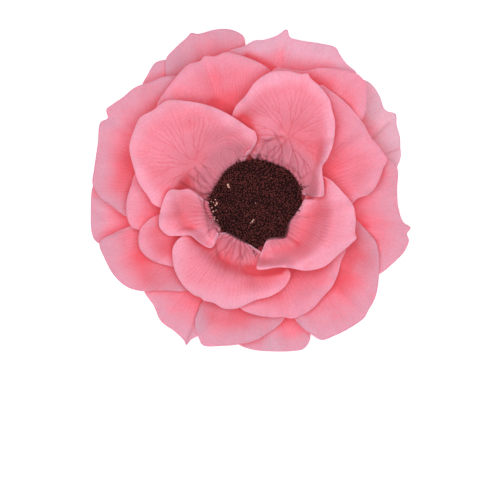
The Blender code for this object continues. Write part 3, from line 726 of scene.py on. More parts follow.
lay_petal(
    "petal_inner_2", drop=INNER_DROP, root=(114, 166), claw=8.5, pleats=(12, 0.2),
    hub=(146, 20.6), whorl=(119, 15.6, 8),
    profile=[(11, 12.8), (13, 14.6), (16, 15.8), (20, 18.2), (24, 21.2), (28, 23.6),
             (32, 25.0), (37, 25.2), (41, 24.2)],
    margin=[(100, 15.2), (93.6, 15.9), (89.3, 17.6), (90.6, 20.4), (95, 21.5), (104.9, 25.4),
            (114.4, 30), (123.4, 34.4), (130.6, 38.1), (137.5, 38.9), (143, 40.4),
            (148.5, 39.8), (155.8, 38.6), (165, 34.8), (169.5, 33.2), (175.8, 30.1),
            (179.5, 28.7), (182.1, 26.4), (184.5, 22), (181, 18)],
    folds=[([(143, 16), (145, 24), (143, 39)], -1.0, 2.6),
           ([(100, 19), (112, 24), (128, 34)], 1.8, 4.0), ([(170, 24), (164, 33)], 1.4, 4.0),
           ([(165, 20), (177, 21)], -2.0, 2.2), ([(172, 12), (179, 17)], -2.0, 2.4)],
    flush=[([(160, 20.5), (168, 21)], 0.7, 2.2)],
    creases=[([(163.4, 22), (166, 18), (171, 12.8)], 0.6, 0.4),
             ([(156, 20.6), (160, 16.6), (166, 12.6)], 0.45, 0.35),
             ([(149, 20), (154, 15.8), (160, 12.6)], 0.45, 0.35),
             ([(143, 18.4), (148, 14.8), (154, 12.4)], 0.35, 0.3),
             ([(173, 19), (175, 13.4)], 0.45, 0.4)],
)
lay_petal(
    "petal_inner_4", drop=INNER_DROP, claw=6.5, pleats=(9, 0.4), hub=(236, 8), pale=6.0,
    root=[(222, 12.2), (230, 11.4), (240, 11.1), (250, 11.3), (261, 12.2)],
    profile=[(11, 17.4), (13, 16.2), (15, 14.8), (17, 13.8), (18, 13.9), (19, 15.2),
             (21, 18.8), (23, 20.4), (26, 20.8), (31, 19.6)],
    margin=[(221, 16.4), (214, 18.2), (207.5, 19.8), (203.6, 20.8), (203.2, 22),
            (205, 24.6), (208.8, 26.6), (217.8, 28.9), (227.4, 30.3), (236.4, 30.6),
            (239, 30.2), (241.4, 30.5), (247, 29.9), (252.6, 30.4), (259.3, 29.6),
            (269.6, 26.8), (280.5, 25.8), (291.2, 23.9), (297, 21.4), (292, 17.5),
            (282, 15.6)],
    folds=[([(274, 21), (296, 22)], -3.0, 4.0)],
    flush=[([(222, 17), (232, 17.8), (245, 18.2), (258, 18.2)], 0.45, 1.6),
           ([(262, 18.3), (270, 18.6), (281, 19), (290, 19.4)], 1.5, 1.2)],
    creases=[([(226, 17.8), (240, 18.8), (258, 18.4)], 0.28, 1.3),
             ([(224, 13), (226, 16), (233, 18)], 0.5, 0.35),
             ([(233, 12.4), (236, 15), (241, 17.4)], 0.35, 0.3),
             ([(241, 12.2), (246, 16.6)], 0.35, 0.3),
             ([(250, 12.4), (253, 15), (250, 17)], 0.4, 0.35),
             ([(258, 12.8), (256, 15.6)], 0.5, 0.35)],
)
lay_petal(
    "petal_inner_3", drop=INNER_DROP, root=(184, 212), claw=4.0, hub=(200, 6),
    profile=[(11, 12.8), (13, 15.8), (16, 19.4), (19, 21.2), (23, 21.6), (28, 21.4)],
    margin=[(169, 17.8), (167, 19.2), (169.1, 21.5), (170.2, 24.1), (175.9, 25.6),
            (183, 26.5), (188.1, 27.3), (193.2, 27.6), (199.2, 26), (202.6, 22.6),
            (205.5, 20.2), (212, 19.2), (219, 18.4), (224, 17.4), (224, 16.2),
            (219.5, 14.6)],
    folds=[([(177, 23.4), (184, 22), (192, 20.8), (200, 20)], -1.1, 1.7),
           ([(208, 20), (217, 18), (224, 16)], -5.0, 4.0)],
    flush=[([(177, 23.4), (184, 22), (192, 20.8), (204, 19)], 0.15, 1.4),
           ([(174, 20.6), (188, 19.4)], 0.3, 3.0), ([(208, 18.6), (216, 18), (226, 17)], 0.15, 1.4)],
    creases=[([(171.8, 16.2), (185.6, 14.4), (200.4, 14.4), (214, 15.6)], 0.4, 0.35),
             ([(204, 12.4), (212, 17)], 0.4, 0.3)],
)
lay_petal(
    "petal_inner_5", drop=INNER_DROP, under=("petal_inner_1",), claw=2.5, pleats=(12, 0.16),
    hub=(318, 3), pale=9.0,
    root=[(285, 11.5), (290, 10.7), (300, 11.1), (311, 12.6), (317, 12.2), (330, 11.1),
          (341, 11.5), (351, 13)],
    profile=[(11, 17.4), (13, 16.2), (15, 15.8), (17, 16.8), (19, 18.8), (21, 20.8),
             (24, 22.2), (27, 22.4), (31, 21.4)],
    margin=[(277, 14.6), (271.5, 16.4), (271.2, 18), (278.8, 18.3), (287.1, 18.4),
            (293.7, 19.2), (299.4, 20.4), (306.9, 23.1), (317.7, 25.8), (328.5, 27),
            (338.4, 29), (341.4, 29.7), (344, 28.9), (351.8, 28.2), (360, 27.1),
            (368, 24.6), (378.7, 21.9), (383.7, 19.8), (380, 16.4)],
    folds=[([(272, 17.6), (285, 18.2), (294, 18.8), (306, 20), (320, 21.6), (335, 22.4),
             (350, 21.6), (364, 21.4)], 1.6, 2.6),
           ([(272, 17.6), (285, 18.2), (294, 18.8)], 3.2, 1.8),
           ([(314, 12), (317, 16)], -0.8, 1.0), ([(345, 12), (354, 20.3)], -0.5, 1.2),
           ([(5, 22), (21, 21)], -2.0, 4.5)],
    flush=[([(352, 14.5), (356, 18)], 0.2, 2.6), ([(330, 22), (342, 21.5)], -0.55, 2.6),
           ([(282, 14), (295, 14.6), (310, 15.6), (330, 16.6), (352, 17)], 0.35, 2.6),
           ([(270, 17.4), (281, 17.2), (291, 18), (300, 19.6)], 0.2, 1.2)],
    creases=[([(344, 12), (346, 15.4)], 0.3, 0.35), ([(314, 12.6), (317, 16)], 0.3, 0.35)],
)

# Petal tissue: dried, softened and dyed, about a third of a millimetre thick and thinner at the
# margin. Veins fork from the root outwards; light that passes from petal to petal turns the
# places deep between them coral, and the free margins dry to a pale lilac pink.

# Small relief: the crimped margin, the pleats at the claw (their number and height), and slack
# waves across the blade (their direction, length and height)
CRIMP_HEIGHT = 0.26
CRIMP_LENGTH = 4.6
CRIMP_WIDTH = 3.5
PLEATS = (13, 0.16)
PLEAT_REACH = 7.0
SLACK = [((0.9, 0.4), 13.0, 0.22), ((-0.5, 0.85), 8.5, 0.14), ((0.2, -1.0), 5.6, 0.08)]
FULL_THICKNESS_AT = 1.5
THINNING_LEVELS = 5

# Which way, how far and from what height a place looks for neighbours that hide the sky
SKY_TURNS = 16
SKY_REACH = (0.6, 1.2, 2.5, 4.0, 6.0, 9.0, 12.0)
SKY_STAND = 0.2

# Where veins fork, how wide and how strong they are there, and how they stray
FIRST_VEINS = 7
VEIN_FORKS = [(0.4, 0.26, 1.0), (2.6, 0.23, 0.9), (5.6, 0.2, 0.8), (9.5, 0.18, 0.65),
              (15.0, 0.16, 0.5), (26.0, 0.15, 0.45)]
VEIN_SWAY = 3.0
VEIN_LAG = 5.0
STRAY_SIZE = 5.0
HUB_RADIUS = 7.0
WHORL_STEP = 0.85
WHORL_SWAY = 3.2
VEIN_NET_SCALE = 0.85

# A ring's tones, of which the deep one is the coral of painted shade between petals, how wide and
# how full its pale margin is, and how much veins and the painted rim highlight show
RING_COLOURS = {
    "outer": dict(blade=(219, 140, 159), deep=(219, 106, 121), margin=(199, 161, 179),
                  pale=13.0, pale_share=0.88, veins=0.34, rim=0.1),
    "third": dict(blade=(224, 138, 157), deep=(222, 101, 115), margin=(205, 159, 178),
                  pale=10.0, pale_share=0.84, veins=0.36, rim=0.15),
    "second": dict(blade=(233, 137, 156), deep=(225, 93, 106), margin=(232, 157, 178),
                   pale=7.0, pale_share=0.75, veins=0.36, rim=0.3),
    "inner": dict(blade=(240, 141, 160), deep=(215, 86, 96), margin=(241, 165, 186),
                  pale=5.0, pale_share=0.85, veins=0.4, rim=0.5),
}

# Tones that all rings share, and from where to where some come in, in millimetres or in depth.
# The crease tone is painted shade, the rim tone a painted highlight, the glow painted light, and
# the dark root tone painted shade.
CLAW_COLOUR = (210, 129, 145)
CREASE_SHADE_COLOUR = (140, 58, 70)
VEIN_COLOUR = (222, 72, 90)
RIM_HIGHLIGHT_COLOUR = (246, 158, 178)
GLOW_COLOUR = (188, 70, 76)
ROOT_SHADE_COLOUR = (52, 22, 24)
CLAW_REACH = 6.0
CLOUD_SIZE = 7.0
GRAIN_SIZE = 0.35
DEEP_SPAN = (0.16, 1.0)
LIT_SPAN = (0.18, 0.8)
ROOT_SHADE_SPAN = (1.0, 0.2)
RIM_HIGHLIGHT_SPAN = (0.6, 0.1)

head_top = np.max([entry["highest"] for entry in laid.values()], axis=0)


def dried_places(entry):
    """A laid petal's places with the small relief of its tissue added."""
    places = entry["places"].copy()
    index = entry["index"]
    from_root = entry["spoke"] * SHARE_ALONG
    edge = np.clip(1 - entry["spoke"] * (1 - SHARE_ALONG) / CRIMP_WIDTH, 0, 1) ** 2
    turns = 2 * math.pi * SHARE_ACROSS * entry["margin_length"] / CRIMP_LENGTH
    crimp = np.sin(turns + 1.3 * index) * (0.6 + 0.4 * np.sin(0.37 * turns + 2.1 * index))
    places[..., 2] += CRIMP_HEIGHT * crimp * edge
    count, height = entry["petal"].get("pleats", PLEATS)
    pleat = np.sin(2 * math.pi * count * SHARE_ACROSS + index)
    at_claw = np.clip(from_root / 1.5, 0, 1) * np.exp(-((from_root / PLEAT_REACH) ** 2))
    places[..., 2] += height * pleat * at_claw
    for direction, length, height in SLACK:
        turns = 2 * math.pi * (places[..., :2] @ np.array(direction)) / length
        places[..., 2] += height * np.sin(turns + 1.7 * index) * np.clip(from_root / 5, 0, 1)
    return places


def depth_under_sky(places):
    """0 where a place sees the whole sky, 1 where its neighbours hide all of it."""
    hidden = np.zeros(places.shape[:2])
    for turn in np.linspace(0, 2 * math.pi, SKY_TURNS, endpoint=False):
        horizon = np.zeros(places.shape[:2])
        for reach in SKY_REACH:
            away = np.array((math.cos(turn), math.sin(turn))) * reach
            rise = read_net(head_top, places[..., :2] + away) - places[..., 2] - SKY_STAND
            horizon = np.maximum(horizon, rise / np.hypot(rise, reach))
        hidden += horizon
    return hidden / SKY_TURNS


def petal_mesh(name, entry):
    """A grid bent to the petal's dried shape, with what its finish has to know at each place."""
    cells = (ACROSS // STRIDE, ALONG // STRIDE)
    bm = bmesh.new()
    bm.loops.layers.uv.new("UVMap")
    bmesh.ops.create_grid(bm, x_segments=cells[0], y_segments=cells[1], size=1, calc_uvs=True)
    mesh = bpy.data.meshes.new(name)
    bm.to_mesh(mesh)
    bm.free()
    grid = mesh_places(mesh) * MM
    i = ACROSS - np.rint((grid[:, 0] + 1) / 2 * cells[0]).astype(int) * STRIDE
    j = np.rint((grid[:, 1] + 1) / 2 * cells[1]).astype(int) * STRIDE
    places = dried_places(entry)
    across_width = np.linalg.norm(np.gradient(places, axis=0), axis=2) * ACROSS
    side = np.minimum(SHARE_ACROSS, 1 - SHARE_ACROSS) * across_width
    inset = np.minimum(entry["spoke"] * (1 - SHARE_ALONG), side)
    known = {
        "inset": inset,
        "depth": depth_under_sky(places),
        "flush": soft_lines(places[..., :2], entry["petal"].get("flush", ())),
        "crease": soft_lines(places[..., :2], entry["petal"].get("creases", ())),
        "from_root": entry["spoke"] * SHARE_ALONG,
    }
    for attribute, values in known.items():
        layer = mesh.attributes.new(attribute, "FLOAT", "POINT")
        layer.data.foreach_set("value", values[i, j])
    move_mesh(mesh, places[i, j])
    holder = shown(name + "_sheet", mesh)
    thinning = holder.vertex_groups.new(name="thickness")
    fullness = np.rint(np.clip(inset[i, j] / FULL_THICKNESS_AT, 0, 1) * THINNING_LEVELS)
    for level in range(THINNING_LEVELS + 1):
        at_level = np.nonzero(fullness == level)[0].tolist()
        thinning.add(at_level, level / THINNING_LEVELS, "REPLACE")
    wall = holder.modifiers.new("wall", "SOLIDIFY")
    wall.thickness = BLADE_THICKNESS * MM
    wall.offset = 0
    wall.vertex_group = "thickness"
    wall.thickness_vertex_group = RIM_SHARE
    return plain_mesh(holder, name)


def forked_veins(finish, spot, hub):
    """Veins that run out from a hub of the petal, and fork in two again and again."""
    x, y = plan_points([hub])[0]
    half = 0.5 * VEIN_SWAY
    stray = finish.noise(spot, STRAY_SIZE, detail=4, output="Color")
    sway = finish.vectors("MULTIPLY_ADD", stray, (VEIN_SWAY, VEIN_SWAY, 0),
                          (-half - x, -half - y, 0))
    east = finish.part(finish.vectors("ADD", spot, sway), "X")
    north = east.also("Y")
    distance = (east * east + north * north) ** 0.5
    turn = north.math("ARCTAN2", north, east) / (2 * math.pi) + 1
    lag = (finish.noise(spot, STRAY_SIZE) - 0.5) * VEIN_LAG
    lines = 0.0
    for fork, (start, width, depth) in enumerate(VEIN_FORKS):
        count = FIRST_VEINS * 2**fork
        lane = turn * count
        parent = 0.5 - math.floor(lane) % 2
        spread = (distance + lag).between(start, start * 1.5 + 1.5)
        side = abs(lane.fraction() - 0.5 - parent * (1 - spread))
        near = 1 - side * distance * (2 * math.pi / (count * width))
        line = near.between(0, 1) * (distance + lag).between(start - 0.8, start + 0.8)
        lines = (line * depth).highest(lines)
    return lines


def root_hub(petal):
    """Where a petal's veins start: a little behind the middle of its root."""
    angles = [petal["root"][0], petal["root"][-1]]
    if len(petal["root"]) > 2:
        angles = [angle for angle, _ in angles]
    return sum(angles) / 2, HUB_RADIUS


def whorl_rings(finish, spot, whorl):
    """Fine ridges that curl round one place of a petal, as its tissue dried."""
    *centre, reach = whorl
    x, y = plan_points([centre])[0]
    half = 0.5 * WHORL_SWAY
    stray = finish.noise(spot, 3.0, detail=4, output="Color")
    away = finish.vectors("ADD", spot, finish.vectors("SCALE", stray, Scale=WHORL_SWAY))
    flat = finish.vectors("MULTIPLY_ADD", away, (1, 1, 0), (-half - x, -half - y, 0))
    distance = finish.vectors("LENGTH", flat, output="Value")
    rings = (distance * (2 * math.pi / WHORL_STEP)).sine() * 0.5 + 0.5
    zone = distance.between(reach, reach - 3)
    return rings * rings * zone * distance.between(0.5, 2), zone


def petal_finish(name, entry):
    """The tissue of one petal, in its ring's colours."""
    petal, index = entry["petal"], entry["index"]
    tints = RING_COLOURS[entry["ring"]]
    skin = Finish(name, {
        "Specular IOR Level": 0.15,
        "Sheen Weight": 0.06,
        "Sheen Roughness": 0.45,
        "Sheen Tint": colour(255, 214, 228),
        "Subsurface Weight": 0.45,
        "Subsurface Radius": (1.0, 0.3, 0.38),
        "Subsurface Scale": 0.0014,
        "Emission Strength": 0.18,
    })
    spot = skin.place()
    on_petal = skin.node("ShaderNodeUVMap", {"uv_map": "UVMap"})
    shifted = skin.vectors("ADD", on_petal, (index * 1.37, 0, index))
    veins = forked_veins(skin, spot, petal.get("hub", root_hub(petal)))
    warped = skin.vectors("ADD", spot, skin.noise(spot, 2.0, output="Color"))
    sockets = {"Vector": warped, "Scale": VEIN_NET_SCALE}
    cells = skin.node("ShaderNodeTexVoronoi", {"feature": "DISTANCE_TO_EDGE"}, sockets)
    fine_net = cells.between(0.09, 0.0)
    grain = skin.noise(spot, GRAIN_SIZE, detail=3)
    cloud = skin.noise(spot, CLOUD_SIZE)
    ribs = skin.noise(shifted, 0.02, detail=2, stretch=(1.0, 0.06, 1))
    whorl, whorl_zone = 0.0, 0.0
    if "whorl" in petal:
        whorl, whorl_zone = whorl_rings(skin, spot, petal["whorl"])

    inset = skin.attribute("inset") + (cloud - 0.5) * 6
    depth = skin.attribute("depth")
    # Painted shading lines: where their share is positive they paint shade into the blade, where
    # negative painted light
    flush = skin.attribute("flush")
    crease = skin.attribute("crease")
    # Painted shade: the blade turns to its ring's deep coral where neighbours hide its sky, and
    # along the painted shading lines
    deep = depth.between(*DEEP_SPAN) + flush + (cloud - 0.5) * 0.25
    body = skin.mix(colour(*tints["blade"]), colour(*tints["deep"]), deep)
    pale = inset.between(petal.get("pale", tints["pale"]), 0.5) * tints["pale_share"]
    body = skin.mix(body, colour(*petal.get("margin_tint", tints["margin"])), pale * (1 - deep))
    # The claws' own mauve tone; on the two lowest inner petals it also reaches over the shaded inner
    # wall of their cups, where it paints shade
    reach = petal.get("claw", CLAW_REACH)
    claw = (skin.attribute("from_root") + (cloud - 0.5) * 4).between(reach + 2, reach - 2)
    claw = claw * (0.2 + 0.8 * skin.attribute("inset").between(0.4, 3.0))
    body = skin.mix(body, colour(*CLAW_COLOUR), claw * (0.9 - 0.5 * deep))
    veins = veins * (1 - whorl_zone) * (0.3 + 0.7 * inset.between(2, 11))
    body = skin.mix(body, colour(*VEIN_COLOUR), veins * tints["veins"] + fine_net * 0.13)
    # Painted shade along the creases, with the claw's darker veins and ribs and the whorl's ridges
    crease_shade_and_claw_marks = 0.8 * crease + claw * (0.27 * veins + 0.1 * ribs) + 0.09 * whorl
    body = skin.mix(body, colour(*CREASE_SHADE_COLOUR), crease_shade_and_claw_marks)
    # Painted highlight: a thin light line along each margin, strongest on the inner ring
    rim = skin.attribute("inset").between(*RIM_HIGHLIGHT_SPAN)
    body = skin.mix(body, colour(*RIM_HIGHLIGHT_COLOUR), rim * tints["rim"])
    # Painted shade: a thin dark line along each petal's root, where it meets the boss
    root_shade = skin.attribute("from_root").between(*ROOT_SHADE_SPAN)
    body = skin.mix(body, colour(*ROOT_SHADE_COLOUR), root_shade * 0.9)
    speckle = skin.node("ShaderNodeHueSaturation", None, {
        "Value": 0.9 + 0.15 * grain + 0.05 * ribs,
        "Color": body,
    })
    relief = 0.15 * ribs + 0.3 * grain - 0.1 * veins - 0.1 * fine_net - claw * 0.3 * veins
    skin.bump(relief - 0.25 * whorl - 0.3 * crease, 0.25)

    # Light that comes through the thin tissue, where a petal lies deep between others
    lit = depth.between(*LIT_SPAN) * skin.attribute("from_root").between(1.0, 4.0)
    glow = skin.mix(colour(0, 0, 0), colour(*GLOW_COLOUR), lit)
    skin.feed(skin.surface.inputs["Emission Color"], glow)
    return skin.done(speckle, 0.6 + 0.2 * grain)


for name, entry in laid.items():
    slot = "petal_" + entry["ring"]
    add_piece(name + "_blade", petal_mesh(name, entry), petal_finish(name, entry), slot, name)

# Boss: the low dark dome in the middle, a core packed with more than a thousand dry florets. They
# follow the spirals of a seed head, a little out of order, and are near black, with a red-brown
# highlight painted on the top of each.

BOSS_RISE = 3.6
BOSS_STEPS = 144
CORE_SINK = 0.5
CORE_SHRINK = 0.04
FLORETS = 1400
FLORET_WIDTH = 0.68
FLORET_LENGTH = 1.0
FLORET_JITTER = 0.2
FLORET_LEAN = 0.5
FLORET_TAPER = 0.25
RAY_START = 40.0
RAY_LIFT = 10.0
GOLDEN_ANGLE = math.pi * (3 - math.sqrt(5))
BOSS_SEED = 7


def dome_height(share):
    """The boss's height at a share of its radius."""
    return TOP_HEIGHT + BOSS_RIM + BOSS_RISE * (1 - share**2) ** 0.75


def boss_profile():
    """Down the boss's outer side: its dome, its rim, and the seat on the receptacle's top."""
    seat = TOP_HEIGHT + SEAT_GAP
    rim = TOP_HEIGHT + BOSS_RIM
    dome = [(share * BOSS_RADIUS, dome_height(share)) for share in np.linspace(0, 0.95, 34)]
    shoulder = [(0.985 * BOSS_RADIUS, rim + 0.25), (BOSS_RADIUS, rim - 0.45)]
    underside = [(0.965 * BOSS_RADIUS, rim - 1.1), (0.88 * BOSS_RADIUS, seat + 0.9),
                 (0.74 * BOSS_RADIUS, seat), (0, seat)]
    return dome + shoulder + underside


core_mesh = turned_mesh("boss_core", boss_profile(), BOSS_STEPS)
core = mesh_places(core_mesh)
core_radii = np.hypot(core[:, 0], core[:, 1])
core_angles = np.degrees(np.arctan2(core[:, 1], core[:, 0]))
outline = np.interp(core_angles, *zip(*BOSS_OUTLINE), period=360) / BOSS_RADIUS
stretch = 1 + (outline - 1) * np.clip(2 * core_radii / BOSS_RADIUS - 1, 0, 1)
on_top = np.clip((core[:, 2] - TOP_HEIGHT - BOSS_RIM) / 0.5 + 1, 0, 1)
core[:, :2] *= (stretch * (1 - CORE_SHRINK * on_top))[:, None]
core[:, 2] -= CORE_SINK * on_top
move_mesh(core_mesh, core)


def dry_finish(name, gloss, size, detail, span, tones, relief, roughness):
    """A dry skin whose tone, relief and roughness follow one grain of the given size."""
    finish = Finish(name, {"Specular IOR Level": gloss})
    grain = finish.noise(finish.place(), size, detail)
    finish.bump(grain, relief)
    dark, light = tones
    tone = finish.mix(colour(*dark), colour(*light), grain.between(*span))
    return finish.done(tone, roughness + 0.2 * grain)


crust_finish = dry_finish("boss_crust", gloss=0.05, size=0.5, detail=4, span=(0.45, 0.7),
                          tones=((34, 15, 16), (56, 26, 26)), relief=0.5, roughness=0.75)
add_piece("boss_core", core_mesh, crust_finish, "centre_boss", "centre_boss")


class Growth(Tree):
    """A Geometry Nodes tree with named inputs, which ends in a plain mesh of one material."""

    def __init__(self, name, inputs):
        super().__init__(bpy.data.node_groups.new(name, "GeometryNodeTree"))
        new_socket = self.tree.interface.new_socket
        for way in ("INPUT", "OUTPUT"):
            new_socket("Geometry", in_out=way, socket_type="NodeSocketGeometry")
        self.values = {}
        for label, value in inputs.items():
            kind = "NodeSocketInt" if isinstance(value, int) else "NodeSocketFloat"
            self.values[new_socket(label, in_out="INPUT", socket_type=kind).identifier] = value
        self.entry = self.tree.nodes.new("NodeGroupInput")

    def input(self, label):
        return Wire(self, self.entry.outputs[label])

    def place(self):
        return self.node("GeometryNodeInputPosition")

    def vector(self, x, y, z):
        return self.node("ShaderNodeCombineXYZ", None, {0: x, 1: y, 2: z})

    def random(self, low, high, seed):
        sockets = {2: low, 3: high, "Seed": seed}
        return self.node("FunctionNodeRandomValue", {"data_type": "FLOAT"}, sockets, output=1)

    def amount(self, label):
        """A number that each point of the base mesh carries."""
        settings = {"data_type": "FLOAT"}
        return self.node("GeometryNodeInputNamedAttribute", settings, {"Name": label})

    def moved(self, geometry, **how):
        """Geometry at a new Position, or moved by an Offset."""
        return self.node("GeometryNodeSetPosition", None, {0: geometry, **how})

    def aimed(self, direction):
        """The turn that points a form's own upright axis in a direction."""
        settings = {"axis": "Z"}
        return self.node("FunctionNodeAlignRotationToVector", settings, {"Vector": direction})

    def planted(self, points, form, turn, scale, **more):
        """A copy of a form on each point."""
        sockets = {0: points, "Instance": form, "Rotation": turn, "Scale": scale, **more}
        return self.node("GeometryNodeInstanceOnPoints", None, sockets)

    def grown(self, name, base, geometry, material):
        """Ends the tree, and makes a plain mesh of what it grows on the base mesh."""
        real = self.node("GeometryNodeRealizeInstances", None, {0: geometry})
        dressed = self.node("GeometryNodeSetMaterial", None, {0: real, "Material": material})
        self.feed(self.tree.nodes.new("NodeGroupOutput").inputs[0], dressed)
        holder = shown(name + "_growth", base)
        growth = holder.modifiers.new("growth", "NODES")
        growth.node_group = self.tree
        for identifier, value in self.values.items():
            growth[identifier] = value
        return plain_mesh(holder, name)


floret = Finish("dry_floret", {"Specular IOR Level": 0.12})
spot = floret.place()
speck = floret.noise(spot, 0.5, detail=2)
tuft = floret.noise(spot, 2.4)
# Painted highlight: each floret turns red-brown towards its top and near black below, less so in
# some spots and patches
tip_highlight = (floret.attribute("tip") + (speck - 0.5) * 0.6 + (tuft - 0.5) * 0.5).between(0.4, 1.1)
floret.bump(speck, 0.15)
floret_colour = floret.mix(colour(20, 7, 9), colour(98, 46, 44), tip_highlight)
floret_finish = floret.done(floret_colour, 0.6 + 0.3 * speck)

spirals = Growth("florets", {
    "Count": FLORETS,
    "Reach": (BOSS_RADIUS + 0.5) * MM,
    "Width": FLORET_WIDTH * MM,
    "Length": FLORET_LENGTH * MM,
    "Jitter": FLORET_JITTER * MM,
    "Seed": BOSS_SEED,
})
order = spirals.node("GeometryNodeInputIndex")
count = spirals.input("Count")
seed = spirals.input("Seed")
radius = spirals.input("Reach") * ((order + 0.5) / count) ** 0.5
turn = order * GOLDEN_ANGLE
jitter = spirals.input("Jitter")
start = spirals.vector(
    radius * turn.math("COSINE", turn) + jitter * spirals.random(-1.0, 1.0, seed + 4),
    radius * turn.sine() + jitter * spirals.random(-1.0, 1.0, seed + 5),
    RAY_START * MM,
)
points = spirals.node("GeometryNodePoints", None, {"Count": count, "Position": start})

# A ray from a little above a point finds the core under it, also once the point is seated there
found = spirals.node("GeometryNodeRaycast", None, {
    "Target Geometry": spirals.input("Geometry"),
    "Source Position": spirals.vectors("ADD", spirals.place(), (0.0, 0.0, RAY_LIFT * MM)),
    "Ray Direction": (0.0, 0.0, -1.0),
}, output="Is Hit")
seated = spirals.moved(points, Position=found.also("Hit Position"))
bud = spirals.node("GeometryNodeMeshIcoSphere", None, {"Radius": 0.5, "Subdivisions": 2})
up = spirals.part(spirals.place(), "Z")
taper = 1 - FLORET_TAPER * up
slimmer = spirals.vector(taper, taper, 1.0)
bud = spirals.moved(bud, Position=spirals.vectors("MULTIPLY", spirals.place(), slimmer))
bud = spirals.node("GeometryNodeStoreNamedAttribute", {"data_type": "FLOAT"}, {
    0: bud, "Name": "tip", "Value": up + 0.5,
})
lean = spirals.vector(spirals.random(-FLORET_LEAN, FLORET_LEAN, seed),
                      spirals.random(-FLORET_LEAN, FLORET_LEAN, seed + 1), 0)
aim = spirals.aimed(spirals.vectors("ADD", found.also("Hit Normal"), lean))
width = spirals.input("Width") * spirals.random(0.65, 1.15, seed + 2)
length = spirals.input("Length") * spirals.random(0.8, 1.35, seed + 3)
scale = spirals.vector(width, width, length)
planted = spirals.planted(seated, bud, aim, scale, Selection=found)
floret_mesh = spirals.grown("boss_florets", core_mesh.copy(), planted, floret_finish)
add_piece("boss_florets", floret_mesh, floret_finish, "centre_boss", "centre_boss")

# Fringe: dry, thread-like stamens round the boss, most of them broken off short. They lie between
# its rim and the petals, and stand out longest in a few tufts.

FRINGE_THREADS = 300
THREAD_LENGTH = 1.5
THREAD_WIDTH = 0.34
STUB_SHARE = 0.3
FRINGE_INSET = 0.3
FRINGE_DROP = 0.9
GOLDEN_SHARE = 0.618034
FRINGE_SEED = 21

# Each tuft's angle, the length of its threads and its half width in degrees
TUFTS = [(20, 1.5, 4), (88, 1.5, 9), (112, 1.2, 5), (170, 1.8, 4), (200, 0.9, 6), (268, 1.6, 7)]


def dotted_mesh(name, places, heights, label, amounts):
    """Loose points at (degrees, millimetres) and their heights, which carry an amount each."""
    mesh = bpy.data.meshes.new(name)
    dots = np.column_stack((plan_points(places), heights)) * MM
    mesh.from_pydata(dots.tolist(), [], [])
    mesh.attributes.new(label, "FLOAT", "POINT").data.foreach_set("value", amounts)
    return mesh


fringe_angles = (np.arange(FRINGE_THREADS) * 360 * GOLDEN_SHARE) % 360
fringe_radii = np.interp(fringe_angles, *zip(*BOSS_OUTLINE), period=360)
fringe_radii += 0.35 * np.sin(fringe_angles * 2.7) - FRINGE_INSET
fringe_heights = TOP_HEIGHT + BOSS_RIM - FRINGE_DROP + 0.5 * np.sin(fringe_angles * 5.1)
reach = np.full(FRINGE_THREADS, STUB_SHARE)
for angle, length, spread in TUFTS:
    away = np.abs((fringe_angles - angle + 180) % 360 - 180)
    reach += (length - STUB_SHARE) * np.exp(-((away / spread) ** 2))
fringe_places = np.column_stack((fringe_angles, fringe_radii))
fringe_base = dotted_mesh("fringe_base", fringe_places, fringe_heights, "reach", reach)
thread_finish = dry_finish("dry_thread", gloss=0.1, size=0.4, detail=2, span=(0.4, 0.7),
                           tones=((34, 10, 12), (96, 46, 46)), relief=0.05, roughness=0.7)

fringe = Growth("fringe", {
    "Length": THREAD_LENGTH * MM,
    "Width": THREAD_WIDTH * MM,
    "Seed": FRINGE_SEED,
})
seed = fringe.input("Seed")
cone = fringe.node("GeometryNodeMeshCone", None, {
    "Vertices": 5, "Side Segments": 4, "Radius Top": 0.12, "Radius Bottom": 0.5, "Depth": 1.0,
})
along = fringe.part(fringe.place(), "Z")
cone = fringe.moved(cone, Offset=fringe.vector(along * along * 0.25, 0.0, 0.0))
outward = fringe.vectors("NORMALIZE", fringe.vectors("MULTIPLY", fringe.place(), (1, 1, 0)))
stray = fringe.vector(fringe.random(-0.9, 0.9, seed), fringe.random(-0.9, 0.9, seed + 1),
                      fringe.random(0.1, 0.9, seed + 2))
aim = fringe.aimed(fringe.vectors("ADD", outward, stray))
width = fringe.input("Width") * fringe.random(0.6, 1.1, seed + 3)
length = fringe.input("Length") * fringe.amount("reach") * fringe.random(0.5, 1.3, seed + 4)
scale = fringe.vector(width, width, length)
planted = fringe.planted(fringe.input("Geometry"), cone, aim, scale)
fringe_mesh = fringe.grown("boss_fringe", fringe_base, planted, thread_finish)
add_piece("boss_fringe", fringe_mesh, thread_finish, "centre_boss", "centre_boss")

# Crumbs: cream-coloured bits of dried pollen sacs that stick to the boss, mostly at its left edge.

CRUMB_SIZE = 0.46
CRUMB_RISE = 0.3
CRUMB_SEED = 5

# Each crumb's angle, its distance from the middle and its share of the full size
CRUMBS = [(173, 11.4, 0.9), (177, 11.9, 0.6), (178, 10.9, 1.2), (181, 11.3, 0.8),
          (184, 12.3, 1.0), (188, 11.2, 0.6), (189, 12.1, 1.0), (176, 12.5, 0.7),
          (197, 12.0, 0.9), (199, 12.3, 1.2), (202, 11.6, 0.6),
          (145, 9.4, 1.5), (147, 9.0, 0.9), (262, 4.3, 0.8), (259, 4.8, 0.9),
          (255, 5.3, 0.8), (95, 0.4, 0.5), (330, 7.5, 0.45), (60, 8.6, 0.5)]

crumb_angles, crumb_radii, crumb_shares = np.transpose(CRUMBS)
crumb_heights = dome_height(np.minimum(crumb_radii / BOSS_RADIUS, 0.96)) + CRUMB_RISE
crumb_places = np.column_stack((crumb_angles, crumb_radii))
crumb_base = dotted_mesh("crumb_base", crumb_places, crumb_heights, "share", crumb_shares)
pollen_finish = dry_finish("dry_pollen", gloss=0.2, size=0.3, detail=2, span=(0.35, 0.6),
                           tones=((176, 104, 98), (236, 190, 176)), relief=0.08, roughness=0.7)

